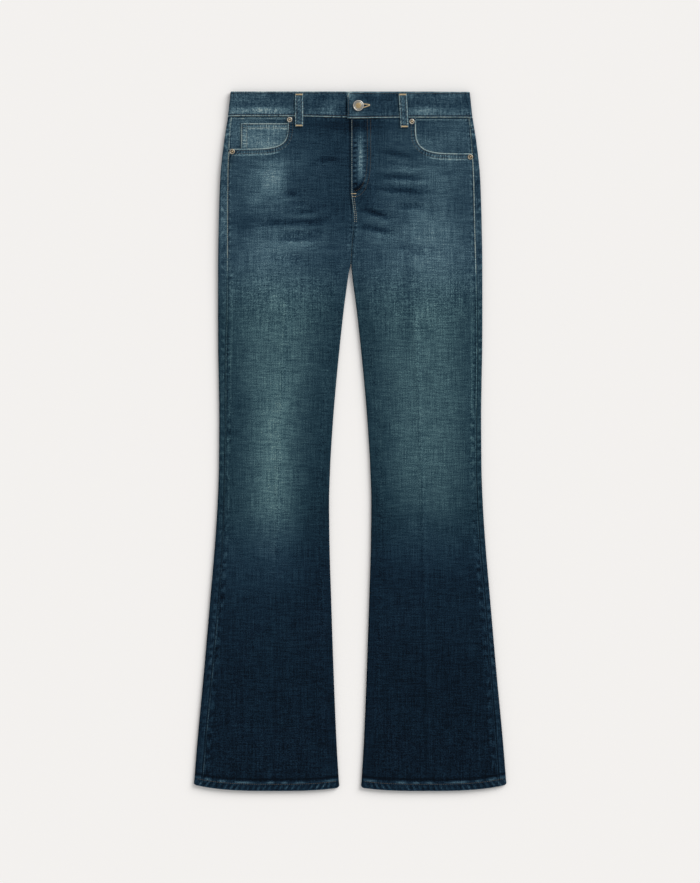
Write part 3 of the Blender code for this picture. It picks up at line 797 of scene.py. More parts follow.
def new_material(name: str) -> tuple[Any, Any, Any]:
    """Starts a material.

    Args:
        name: The material's name.

    Returns:
        It, its node tree and its Principled shader.
    """
    material = bpy.data.materials.new(name)
    material.use_nodes = True
    return material, material.node_tree, material.node_tree.nodes["Principled BSDF"]


class Grain(Enum):
    """Which way the warp runs."""

    ALONG_LEG = "y"
    ALONG_BAND = "x"

    def scale(self, across: float, along: float) -> tuple[float, float, float]:
        """The scale of a noise with that many grains a metre across the warp and along it."""
        return (along, across, across) if self is Grain.ALONG_BAND else (across, along, across)


UNWASHED = 0.08  # where unwashed cloth stands on the ramp, so that its grain can go darker still
BLUES = (
    (0.00, "#040b13"),
    (0.08, "#06111c"),
    (0.104, "#0a1824"),
    (0.152, "#0d1e2d"),
    (0.28, "#1a303f"),
    (0.368, "#263c4b"),
    (0.456, "#2f4654"),
    (0.632, "#49636f"),
    (0.80, "#637f89"),
    (1.00, "#94a4a2"),
)


@dataclass(frozen=True)
class Denim:
    """Stretch denim, indigo warp over a pale weft, stone washed.

    The real twill repeats every 0.6 mm, which no picture of a whole garment can show, so its yarns are drawn
    coarser: a grain of 1.2 mm, warp streaks as wide and 40 mm long, weft lines 3 mm apart, and a slow
    mottling.
    """

    name: str
    grain: Grain
    blotches: float = 0.08

    def material(self) -> Any:
        """Makes the denim's material, which reads the piece's wear, cast, inside, seam and trim attributes.

        Returns:
            The material.
        """
        made, tree, shader = new_material(self.name)
        add = partial(add_node, tree)
        place = add("TexCoord")["Object"]
        names = ("wear", "cast", "inside", "seam", "trim")
        read = {name: add("Attribute", attribute_name=name, attribute_type="GEOMETRY") for name in names}
        distance, phase, width = add("SeparateXYZ", [read["seam"]["Vector"]])
        edge_worn, pucker_worn, ditch_dark = add("SeparateXYZ", [read["trim"]["Vector"]])
        reach = add("Math", (distance, width), operation="DIVIDE")[0]
        spot = add("CombineXYZ", (phase, reach, 0.0))[0]

        # Noise from about -0.5 to 0.5: where it is read, its grains a metre or a pucker, and its detail
        grains = (
            (place, self.grain.scale(800.0, 880.0), 0.0),
            (place, self.grain.scale(800.0, 26.0), 0.0),
            (place, self.grain.scale(70.0, 700.0), 0.0),
            (place, self.grain.scale(330.0, 200.0), 1.0),
            (place, (38.0, 38.0, 38.0), 3.0),
            (place, (60.0, 60.0, 60.0), 2.0),
            (spot, (0.6, 0.9, 1.0), 1.0),
            (spot, (0.31, 0.6, 1.0), 1.0),
        )
        noises = []
        for source, scale, detail in grains:
            at = add("VectorMath", (source, scale), operation="MULTIPLY")[0]
            inputs = {"Vector": at, "Scale": 1.0, "Detail": detail, "Roughness": 0.6}
            noises.append(add("Math", (add("TexNoise", inputs)[0], 0.5), operation="SUBTRACT")[0])
        *layers, wander, bend, uneven = noises

        # The weave adds up the yarns, the warp streaks, the weft lines, the blotches and the mottling
        weave: Any = 0.0
        for layer, weight in zip(layers, (1.30, 0.52, 0.54, self.blotches, 0.18)):
            weave = add("Math", (layer, weight, weave), operation="MULTIPLY_ADD")[0]

        # Smooth steps, in millimetres from the sewn edge or in shares of its puckered band
        steps = (
            (distance, 0.8, 2.0, 1.0, 0.0),
            (distance, 1.4, 2.4, 0.0, 1.0),
            (distance, 2.6, 4.4, 1.0, 0.0),
            (reach, 0.16, 0.36, 0.0, 1.0),
            (reach, 0.80, 1.05, 1.0, 0.0),
        )
        edge, *flanks = [add("MapRange", step, interpolation_type="SMOOTHSTEP")[0] for step in steps]
        ditch, band = [add("Math", pair, operation="MULTIPLY")[0] for pair in (flanks[:2], flanks[2:])]
        worn = add("Math", (wander, 1.4, 0.95), operation="MULTIPLY_ADD")[0]
        edge_line = add("Math", (edge, worn), operation="MULTIPLY")[0]

        # Puckers are a sine along the edge, bent and uneven
        bent = add("Math", (bend, 11.0), operation="MULTIPLY")[0]
        wave = add("Math", (phase, 2 * math.pi, bent), operation="MULTIPLY_ADD")[0]
        wave = add("Math", [wave], operation="SINE")[0]
        strength = add("Math", (uneven, 2.0, 0.6), operation="MULTIPLY_ADD")[0]
        puckers = add("Math", (wave, strength, 0.3), operation="MULTIPLY_ADD")[0]
        puckers = add("Math", (puckers, band), operation="MULTIPLY")[0]

        wear = add("Math", (edge_line, edge_worn, read["wear"]["Fac"]), operation="MULTIPLY_ADD")[0]
        wear = add("Math", (puckers, pucker_worn, wear), operation="MULTIPLY_ADD")[0]
        dark = add("Math", (ditch, ditch_dark), operation="MULTIPLY")[0]
        wear = add("Math", (wear, dark), operation="SUBTRACT")[0]
        wear = add("Math", (wear, -0.05), operation="MAXIMUM")[0]
        contrast = add("Math", (wear, 0.70, 0.24), operation="MULTIPLY_ADD")[0]
        shade = add("Math", (weave, contrast, wear), operation="MULTIPLY_ADD")[0]
        shade = add("Math", (shade, UNWASHED), operation="ADD", use_clamp=True)[0]

        blues = add("ValToRGB", [shade])[0]
        stops = blues.node.color_ramp.elements
        stops.remove(stops[0])
        stops[0].position, stops[0].color = BLUES[-1][0], hex_to_linear(BLUES[-1][1])
        for at, colour in BLUES[:-1]:
            stops.new(at).color = hex_to_linear(colour)

        # The rubbed thighs and knees lean to teal: less red and blue
        teal = {0: read["cast"]["Fac"], 6: blues, 7: hex_to_linear("#f9fff4")}
        tinted = add("Mix", teal, data_type="RGBA", blend_type="MULTIPLY")[2]
        # The inside shows more of the pale weft
        lining = {0: read["inside"]["Fac"], 6: tinted, 7: hex_to_linear("#5d6f7b")}
        colour = add("Mix", lining, data_type="RGBA")[2]

        raised = add("Math", (pucker_worn, 5.0), operation="MULTIPLY")[0]
        height = add("Math", (puckers, raised, weave), operation="MULTIPLY_ADD")[0]
        bump = add("Bump", {"Strength": 0.35, "Distance": 0.0003, "Height": height})[0]
        shader.inputs["Roughness"].default_value = 0.88
        shader.inputs["Specular IOR Level"].default_value = 0.05
        tree.links.new(colour, shader.inputs["Base Color"])
        tree.links.new(bump, shader.inputs["Normal"])
        return made


@dataclass(frozen=True)
class Thread:
    """Cotton-wrapped polyester thread, its twist drawn as soft bands."""

    name: str
    colour: str

    def material(self) -> Any:
        """Makes the thread's material.

        Returns:
            The material.
        """
        made, tree, shader = new_material(self.name)
        add = partial(add_node, tree)
        twist = {"Vector": add("TexCoord")["Object"], "Scale": 260.0, "Detail": 2.0}
        tone = add("MapRange", (add("TexNoise", twist)[0], 0.3, 0.7, 0.65, 1.0))[0]
        inputs = {0: 1.0, 6: hex_to_linear(self.colour), 7: tone}
        colour = add("Mix", inputs, data_type="RGBA", blend_type="MULTIPLY")[2]
        tree.links.new(colour, shader.inputs["Base Color"])
        shader.inputs["Roughness"].default_value = 0.75
        shader.inputs["Specular IOR Level"].default_value = 0.25
        return made


@dataclass(frozen=True)
class AntiqueMetal:
    """Tumbled metal, nickel grey on the raised rings and brass where it is rubbed."""

    name: str
    rim: str = "#d2cfc7"
    rubbed: str = "#c9b084"
    grime_and_shade: str = "#2e2b27"

    def material(self) -> Any:
        """Makes the metal's material, which reads the piece's rub attribute and its shadow attribute.

        Returns:
            The material.
        """
        made, tree, shader = new_material(self.name)
        add = partial(add_node, tree)
        rub, shadow = [add("Attribute", attribute_name=name)["Fac"] for name in ("rub", "shadow")]
        clean = {0: rub, 6: hex_to_linear(self.rim), 7: hex_to_linear(self.rubbed)}
        clean = add("Mix", clean, data_type="RGBA")[2]
        specks = {"Vector": add("TexCoord")["Object"], "Scale": 900.0, "Detail": 3.0}
        grime = add("MapRange", (add("TexNoise", specks)[0], 0.35, 0.75, 0.0, 0.45))[0]
        # Painted shade in the grooves and underneath, from the shadow attribute, darkens it as the grime
        # specks do
        dark = add("Math", (grime, shadow), operation="MAXIMUM")[0]
        grimy_and_shaded = {0: dark, 6: clean, 7: hex_to_linear(self.grime_and_shade)}
        tree.links.new(add("Mix", grimy_and_shaded, data_type="RGBA")[2], shader.inputs["Base Color"])
        shader.inputs["Metallic"].default_value = 1.0
        shader.inputs["Roughness"].default_value = 0.42
        return made


def closed_wall(rows: int, columns: int, flipped: bool) -> Array:
    """Faces of a wall between two grids of points, the outer grid's points first.

    Args:
        rows: Of each grid.
        columns: Of each grid.
        flipped: Whether the faces are turned round.

    Returns:
        Quads as point numbers: the outer face, the inner face, and the rim between them.
    """
    count = rows * columns
    index = np.arange(count).reshape(rows, columns)
    rim = np.concatenate([index[0, :-1], index[:-1, -1], index[-1, :0:-1], index[:0:-1, 0]])
    ahead = np.roll(rim, -1)
    quads = [index[:-1, :-1], index[:-1, 1:], index[1:, 1:], index[1:, :-1]]
    outer = np.stack(quads, axis=-1).reshape(-1, 4)
    walls = np.stack([rim, rim + count, ahead + count, ahead], axis=-1)
    faces = np.concatenate([outer, outer[:, ::-1] + count, walls])
    return faces[:, ::-1] if flipped else faces


def mesh_of(name: str, points: Array, faces: list[list[int]], material: Any, values: dict[str, Array]) -> Any:
    """Makes a smooth-shaded object with its point attributes.

    Args:
        name: The piece's name.
        points: Its points in metres.
        faces: Point numbers by face.
        material: What it is made of.
        values: Attribute name to one number or three numbers a point.

    Returns:
        The object.
    """
    mesh = bpy.data.meshes.new(name)
    mesh.from_pydata(points.tolist(), [], faces)
    for key, data in values.items():
        flat = data.ndim == 1
        attribute = mesh.attributes.new(key, "FLOAT" if flat else "FLOAT_VECTOR", "POINT")
        numbers = np.ascontiguousarray(data, np.float32).ravel()
        attribute.data.foreach_set("value" if flat else "vector", numbers)
    mesh.materials.append(material)
    mesh.shade_smooth()
    made = bpy.data.objects.new(name, mesh)
    bpy.context.scene.collection.objects.link(made)
    return made


@dataclass
class Wall:
    """A closed wall of cloth on a grid: its outer face, an inner face and the four edges between them."""

    node: str
    grid: Array
    flipped: bool
    thickness: float
    wear: Array
    dressing: Dressing
    cast: Array | float = 0.0
    relief: Array | None = None

    def build(self, material: Any, flat: tuple[float, float], rests_on: list[str]) -> None:
        """Makes the piece, hides its CAD part and logs its faces and cut.

        Args:
            material: Its denim.
            flat: Width and length of the cut, in metres.
            rests_on: What it lies on; not used.
        """
        across = tangents(self.grid.transpose(1, 0, 2)).transpose(1, 0, 2)
        normal = np.cross(across, tangents(self.grid))
        normal *= (-1 if self.flipped else 1) / np.linalg.norm(normal, axis=-1, keepdims=True)
        grid = self.grid if self.relief is None else self.grid + self.relief[..., None] * MM * normal
        shape = grid.shape[:2]
        count = shape[0] * shape[1]
        faces = closed_wall(*shape, self.flipped)
        inner = grid - self.thickness * MM * normal
        points = np.concatenate([grid.reshape(-1, 3), inner.reshape(-1, 3)])
        values = {
            "wear": np.tile((self.wear + self.dressing.rub).ravel(), 2),
            "cast": np.tile(np.broadcast_to(self.cast, shape).ravel(), 2),
            "inside": np.repeat([0.0, 1.0], count),
            "seam": np.tile(self.dressing.seam.reshape(-1, 3), (2, 1)),
            "trim": np.concatenate([self.dressing.trim.reshape(-1, 3), np.zeros((count, 3))]),
        }
        made = mesh_of(self.node + "_cloth", points, faces.tolist(), material, values)
        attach(made, "root")
        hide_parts(self.node)
        cut = min(round(grid_area(self.grid), 5), flat[0] * flat[1])
        LOG.info("%s: %d faces, cut %.3f x %.3f m", made.name, len(faces), *flat)


def grid_area(grid: Array) -> float:
    """Area of a grid's quads, in square metres."""
    first = np.cross(grid[1:, 1:] - grid[:-1, :-1], grid[1:, :-1] - grid[:-1, 1:])
    return float(np.linalg.norm(first, axis=-1).sum() / 2)


def plan(side: Side, grid: Array) -> tuple[Array, Array]:
    """A grid's distances from the centre line and its plain levels in the picture's plane, in millimetres."""
    return side.value * grid[..., 0] / MM, PATTERN.length / 2 - grid[..., 1] / MM


def roping(out: Array, above: Array) -> Array:
    """The hem's slanted ropes, from -1 to 1, from how far a point is above the lower edge."""
    return np.sin(2 * math.pi * (out + 0.6 * above) / 9 + 1.4 * np.sin(out / 23))


def hem_wear_and_shadow(out: Array, above: Array) -> Array:
    """Wear and painted shadow added by the hem.

    Args:
        out: Centre line to the point.
        above: How far it is above the lower edge.

    Returns:
        A rubbed ridge over the stitches, ropes below them, and a painted shadow line above its top edge.
    """
    strokes = np.clip(roping(out, above), 0, 1) ** 2 * (0.7 + 0.3 * np.sin(out / 7.3 + 1))
    patches = np.clip(np.sin(out / 5.0 + 2 * np.sin(out / 17)) + 0.5, 0, 1.3)
    worn = 0.40 * strokes * bell((above - 4.5) / 4.4) + (0.08 + 0.26 * patches) * bell((above - 12.9) / 1.7)
    # The dark line above the hem's top edge is painted shadow
    return worn - 0.12 * bell((above - 17.9) / 1.8)


def seam_tug(level: Array) -> Array:
    """The uneven waves beside a long seam."""
    return np.sin(level / 2.4 + 1.6 * np.sin(level / 31)) * (1 + 0.5 * np.sin(level / 47 + 1))


HIP_END = 292.0  # level where the rows over the hip end
HEM_ROWS = np.array([15, 14.2, 13.5, 12, 10.5, 9, 7.5, 6, 4.5, 3, 2, 1, 0.4, 0])  # above the lower edge
FRONT_FROM = 3.5 * MM  # height above which the back's strip is on the front


def leg_levels(hip: int, leg: int) -> Array:
    """Levels of a leg panel's rows below the pockets.

    Args:
        hip: How many rows go over the hip.
        leg: How many go down the leg.

    Returns:
        The levels, closer over the hip than down the leg, and closest at the hem.
    """
    p = PATTERN
    down_leg = np.linspace(HIP_END, p.length - p.hem, leg)[1:-1]
    return np.concatenate([np.linspace(p.plain_row, HIP_END, hip), down_leg, p.length - HEM_ROWS])


def strip_distance(side: Side, grid: Array, down: Array) -> Array:
    """How far outside the outseam a point of the back is, with FAR added on the underside."""
    return plan(side, grid)[0] - PATTERN.outseam(side, down) + np.where(grid[..., 2] < FRONT_FROM, FAR, 0)


@dataclass
class FrontPanel:
    """A front leg panel with the pocket cut out of its corner and a turned-up hem."""

    side: Side
    pocket_columns: int = 56
    waist_columns: int = 44
    turn_columns: int = 14
    pocket_rows: int = 34
    hip_rows: int = 66
    leg_rows: int = 286
    fly_looks_end: float = 190.0
    crotch: float = 272.0
    thigh: float = 285.0  # where the outseam's puckers grow longer
    knee: float = 500.0  # and where they fade

    def grid(self) -> Array:
        """The outer face, from the outseam across the front and round the leg's inner fold.

        Returns:
            Points by row and column. Rows follow the pocket at the top and run level below it, and columns
            share out the width, then turn round the inner fold on a half circle.
        """
        side, p = self.side, PATTERN
        pocket, down = p.pocket_edge(side, self.pocket_columns + 1)
        edge = p.outseam(side, down) - p.gap / 2
        front_in = p.lead + (p.fly_edge if side is Side.LEFT else -p.fly_underlap)
        waist = np.linspace(p.pocket_top(side), front_in, self.waist_columns + 1)[1:]
        share = (np.append(pocket, waist) - front_in) / (np.append(edge, 0 * waist + edge[-1]) - front_in)
        share[0], share[-1] = 1, 0
        top_down = np.append(down, p.band + p.gap + p.band_sag(side, waist, p.band))
        even = np.linspace(1, 0, len(share))
        turn = np.linspace(0, 1, self.turn_columns + 1)

        start_level = p.pocket_side(side)
        top_rows = np.linspace(start_level, p.plain_row, self.pocket_rows + 1)[:-1]
        level = np.concatenate([top_rows, leg_levels(self.hip_rows, self.leg_rows)])[:, None]
        blend = np.clip((level - start_level) / (p.plain_row - start_level), 0, 1)
        share = np.concatenate([share + blend * (even - share), 0 * (level + turn[1:])], axis=1)
        top_down = np.concatenate([top_down, np.full(len(turn) - 1, top_down[-1])])
        down = np.where(blend < 1, top_down + blend * (p.plain_row - top_down), level)
        turning = np.concatenate([0 * even[1:], turn])

        out = p.hem_middle
        for _ in range(2):
            read = down - p.hem_curve(out, down)
            radius, wrap, fold = p.inner_turn(side, read)
            if side is Side.RIGHT:
                fold = fold - (fold + p.fly_underlap) * smooth_step((p.underlap_foot - read) / 10)
            roll = np.clip(wrap / radius - p.rolled_gap / 2 / (radius - p.cloth), 0, math.pi)
            under = np.clip(wrap - math.pi * radius - p.gap / 2, 0, None)
            start = fold + radius * np.sin(np.minimum(roll, math.pi / 2))
            lead_out = start + p.lead
            edge = p.outseam(side, read) - p.gap / 2
            way = (p.lead + radius * roll + under) * turning
            angle = np.clip((way - p.lead) / radius, 0, roll)
            past = np.clip(way - p.lead - radius * roll, 0, None)
            turned = lead_out - np.minimum(way, p.lead) - radius * np.sin(angle) + past
            out = np.where(turning > 0, turned, lead_out + share * (edge - lead_out))
        height = p.upper(side, np.where(turning > 0, np.maximum(out, start), out), read)
        return p.place(side, out, down, height - np.where(turning > 0, radius * (1 - np.cos(angle)), 0))

    def dress(self, grid: Array) -> Dressing:
        """The looks of its sewn edges.

        Args:
            grid: Its outer face.

        Returns:
            The looks, of the pocket's edge, the waist, the outseam, the hem, the fly and the seam below it.
        """
        side, p = self.side, PATTERN
        out, level = plan(side, grid)
        made = Dressing(grid.shape[:2])
        rows = self.pocket_rows + 12
        pocket_out, pocket_down = p.pocket_edge(side, 400)
        near, run = beside(out[:rows], level[:rows], pocket_out, pocket_down)
        distance, along = np.full(out.shape, FAR), np.zeros(out.shape)
        distance[:rows], along[:rows] = near, run
        made.edge(POCKET_SEAM, distance, along)
        # The worn ridge and the puckers are strong only along the pocket's foot
        foot = smooth_step((level - p.pocket_side(side) + 12) / 10)
        made.rub *= smooth_step((level - p.pocket_side(side) - 2) / 6)
        made.trim[..., 1] *= 0.5 + 0.5 * foot
        waist = level - p.band - p.band_sag(side, out, p.band)
        made.edge(WAIST_SEAM, waist, out, out < p.pocket_top(side) - 2)
        read = level + p.hem_curve(out, level)
        beyond = p.outseam(side, read) - out
        made.edge(OUT_SEAM, beyond, level, (level > p.pocket_side(side) + 4) & (level < self.thigh))
        made.edge(THIGH_SEAM, beyond, level, (level >= self.thigh) & (level < self.knee))
        made.edge(LOW_SEAM, beyond, level, level >= self.knee)
        made.edge(HEM_SEAM, p.length - read, out + 0.5 * (p.length - read))
        beside_centre = out - side.value * p.centre_seam(level)
        look = FLY_SEAM if side is Side.LEFT else UNDERLAP_SEAM
        made.edge(look, beside_centre, level, level < self.fly_looks_end)
        below_fly = (level > self.fly_looks_end) & (level < self.crotch)
        made.edge(CENTRE_SEAM_LOOK, beside_centre, level, below_fly)
        return made

    def fly_blotches(self, out: Array, level: Array) -> Array:
        """Wear of the small pulls on both sides of the fly's rubbed ridge.

        Args:
            out: Centre line to the point.
            level: Its level.

        Returns:
            Two rows of dark and light spots, and a dark crease and a light one round their foot.
        """
        spots = np.sin(2 * math.pi * level / 8.2 + 0.8 * np.sin(level / 17))
        shown = smooth_step((level - 66) / 14) * (1 - smooth_step((level - 146) / 14))
        blotches = 0.22 * spots * shown * (bell((out - 7.8) / 2.4) + 0.8 * bell((out - 22.4) / 2.6))
        # The rows' foot has a dark crease inside it, from an ellipse round a point on the fly
        ring = 12.5 * (np.hypot((out - 8) / 12.5, (level - 130) / 25) - 1)
        foot = smooth_step((level - 128) / 12) * smooth_step((out - 4) / 5) * (out < 40)
        return blotches + foot * (0.08 * bell((ring - 4.0) / 1.6) - 0.17 * bell(ring / 1.9))

    def relief(self, grid: Array) -> Array:
        """How far the cloth is raised by its small forms.

        Args:
            grid: Its outer face.

        Returns:
            Creases, outseam puckers and the hem's slanted roping, in millimetres along the cloth's normal.
        """
        side, p = self.side, PATTERN
        out, level = plan(side, grid)
        x = side.value * out
        read = level + p.hem_curve(out, level)
        creases = 0.5 * fold_depth(CREASES, x, level, 1.9) - fold_depth(CREASES, x, level)
        seam = p.outseam(side, read) - out
        puckers = 0.10 * seam_tug(level) * bell((seam - 5) / 4) * (level > p.pocket_side(side) + 10)
        above = p.length - read
        return creases + puckers + 0.18 * roping(out, above) * bell((above - 6) / 4.5)

    def build(self, denim: Any) -> None:
        """Makes the panel.

        Args:
            denim: Its material.
        """
        side, p = self.side, PATTERN
        grid = self.grid()
        out, level = plan(side, grid)
        read = level + p.hem_curve(out, level)
        wear = front_wear_and_shade(side, out, level) + hem_wear_and_shadow(out, p.length - read)
        if side is Side.LEFT:
            wear = wear + self.fly_blotches(out, level)
        else:
            # A thin worn line runs beside the lower outseam
            shown = smooth_step((level - 790) / 20) * smooth_step((1082 - level) / 12)
            thin = 0.42 * shown * (0.7 + 0.4 * np.sin(level / 11 + np.sin(level / 29)))
            wear = wear + thin * bell(p.outseam(side, read) - out - 1.0)
        name = "front_panel_" + side.word
        wall = Wall(name, grid, side is Side.RIGHT, p.cloth, wear, self.dress(grid))
        wall.cast, wall.relief = teal_cast(level), self.relief(grid)
        wall.build(denim, (0.26, 1.066), ["back_panel_" + side.word + "_cloth"])


@dataclass
class BackPanel:
    """A back leg panel, which folds round the side to the outseam on the front."""

    side: Side
    lead_columns: int = 10
    flat_columns: int = 34
    turn_columns: int = 10
    strip_columns: int = 6
    seat_rows: int = 24
    hip_rows: int = 52
    leg_rows: int = 236
    hip_looks_end: float = 290.0

    def grid(self) -> Array:
        """The outer face: along the underside, round the side fold and up to the outseam.

        Returns:
            Points by row and column.
        """
        side, p = self.side, PATTERN
        lead = np.linspace(0, 1, self.lead_columns + 1)
        flat = np.linspace(0, 1, self.flat_columns + 1)[1:]
        turn = np.linspace(0, 1, self.turn_columns + 1)[1:]
        turn = np.concatenate([turn, 1 + np.linspace(0, 1, self.strip_columns + 1)[1:]])
        lead = np.concatenate([lead, np.ones(len(flat) + len(turn))])
        flat = np.concatenate([np.zeros(self.lead_columns + 1), flat, np.ones(len(turn))])
        turn = np.concatenate([np.zeros(len(lead) - len(turn)), turn])

        seat = np.linspace(p.yoke_side, p.plain_row, self.seat_rows + 1)[:-1]
        level = np.concatenate([seat, leg_levels(self.hip_rows, self.leg_rows)])[:, None]
        share = flat + (lead - flat) * p.back_lead / p.yoke_reach
        yoke = p.yoke_centre + (p.yoke_side - p.yoke_centre) * share + p.gap / 2
        blend = np.clip((level - p.yoke_side) / (p.plain_row - p.yoke_side), 0, 1)
        down = np.where(blend < 1, yoke + blend * (p.plain_row - yoke), level)

        out = p.hem_middle
        for _ in range(2):
            read = down - p.hem_curve(out, down)
            radius, wrap, fold = p.inner_turn(side, read)
            fold = np.where(read < p.seat_parts, p.gap / 2, fold)
            left_over = np.minimum(wrap, math.pi * radius - wrap) / radius
            roll = np.clip(left_over - p.rolled_gap / 2 / (radius - p.cloth), 0, None)
            start = fold + np.where(wrap > math.pi * radius / 2, radius, radius * np.sin(roll))
            start = start + np.clip(wrap - math.pi * radius + p.gap / 2, 0, None)
            way = lead * (radius * roll + p.back_lead)
            angle = np.clip(roll - way / radius, 0, None)
            lead_out = start + np.clip(way - radius * roll, 0, None) - radius * np.sin(angle)
            turn_out, turn_height, centre = p.side_turn(side, turn, read)
            flat_out = start + p.back_lead + flat * (centre - start - p.back_lead)
            out = np.where(lead < 1, lead_out, np.where(turn > 0, turn_out, flat_out))
        lead_height = p.section("base", read) + radius * (1 - np.cos(angle))
        return p.place(side, out, down, np.where(turn > 0, turn_height, lead_height))

    def build(self, denim: Any) -> None:
        """Makes the panel.

        Args:
            denim: Its material.
        """
        side, p = self.side, PATTERN
        grid = self.grid()
        out, level = plan(side, grid)
        read = level + p.hem_curve(out, level)
        above = p.length - read
        beneath = grid[..., 2] < 3 * MM
        seat = 0.16 * bell((out - 95) / 60) * bell((level - 190) / 90) + 0.1 * bell((level - 560) / 150)
        creases = fold_depth(SEAT_CREASES, side.value * out, level) * beneath
        # The strip in front is rubbed over the hip, with dark dips in it and light marks at the yoke's seam
        shown = (0.16 if side is Side.RIGHT else 0.05) * smooth_step((self.hip_looks_end - level) / 80)
        shown = shown - 0.09 * (bell((level - 148) / 10) + bell((level - 242) / 14))
        shown = shown + 0.26 * (bell((level - p.yoke_side) / 1.8) + bell((level - 67.3) / 1.8))
        wear = 0.9 * wear_at("sides", level) + 0.04 + np.where(beneath, seat, shown)
        wear = wear - 0.3 * creases + hem_wear_and_shadow(out, above)
        strip = strip_distance(side, grid, read)
        made = Dressing(grid.shape[:2])
        made.edge(HIP_STRIP_SEAM, strip, level + 3, level < self.hip_looks_end)
        made.edge(LEG_STRIP_SEAM, strip, level + 3, level >= self.hip_looks_end)
        made.edge(HEM_SEAM, above, out + 0.5 * above)
        # The ropes and creases of the underside only go up from the floor
        ropes = 0.14 * (roping(out, above) - beneath) * bell((above - 6) / 4.5)
        wall = Wall("back_panel_" + side.word, grid, side is Side.RIGHT, p.cloth, wear, made)
        wall.cast = teal_cast(level)
        wall.relief = 0.06 * seam_tug(level) * bell((strip - 5) / 3) + ropes - 0.6 * creases
        wall.build(denim, (0.262, 1.05), [])


@dataclass
class BackYoke:
    """A back yoke, from the centre back to the outseam on the front."""

    side: Side

    def build(self, denim: Any) -> None:
        """Makes the yoke.

        Args:
            denim: Its material.
        """
        side, p = self.side, PATTERN
        flat = np.linspace(0, 1, 60)
        turn = np.concatenate([np.linspace(0, 1, 11)[1:], 1 + np.linspace(0, 1, 5)[1:]])
        flat, turn = np.append(flat, np.ones(len(turn))), np.append(0 * flat, turn)
        low = p.yoke_centre + (p.yoke_side - p.yoke_centre) * flat - p.gap / 2
        rough_out = SECTIONS[1].outer * flat
        band = p.band + p.gap + p.band_sag(side, rough_out, p.band, True)
        down = band + np.linspace(0, 1, 25)[:, None] * (low - band)
        turn_out, turn_height, centre = p.side_turn(side, turn, down)
        flat_out = p.gap / 2 + flat * (centre - p.gap / 2)
        out = np.where(turn > 0, turn_out, flat_out)
        grid = p.place(side, out, down, np.where(turn > 0, turn_height, p.section("base", down)))
        made = Dressing(grid.shape[:2])
        made.edge(YOKE_SEAM, low - down, out)
        made.edge(YOKE_STRIP_SEAM, strip_distance(side, grid, down), down)
        wear = 0.32 + 0.08 * np.sin(out / 26) * np.sin(down / 11)
        wear = wear + 0.22 * bell((low - down - 6) / 2.5) * (grid[..., 2] > FRONT_FROM)
        wall = Wall("back_yoke_" + side.word, grid, side is Side.RIGHT, p.cloth, wear, made)
        wall.build(denim, (0.204, 0.0555), [])


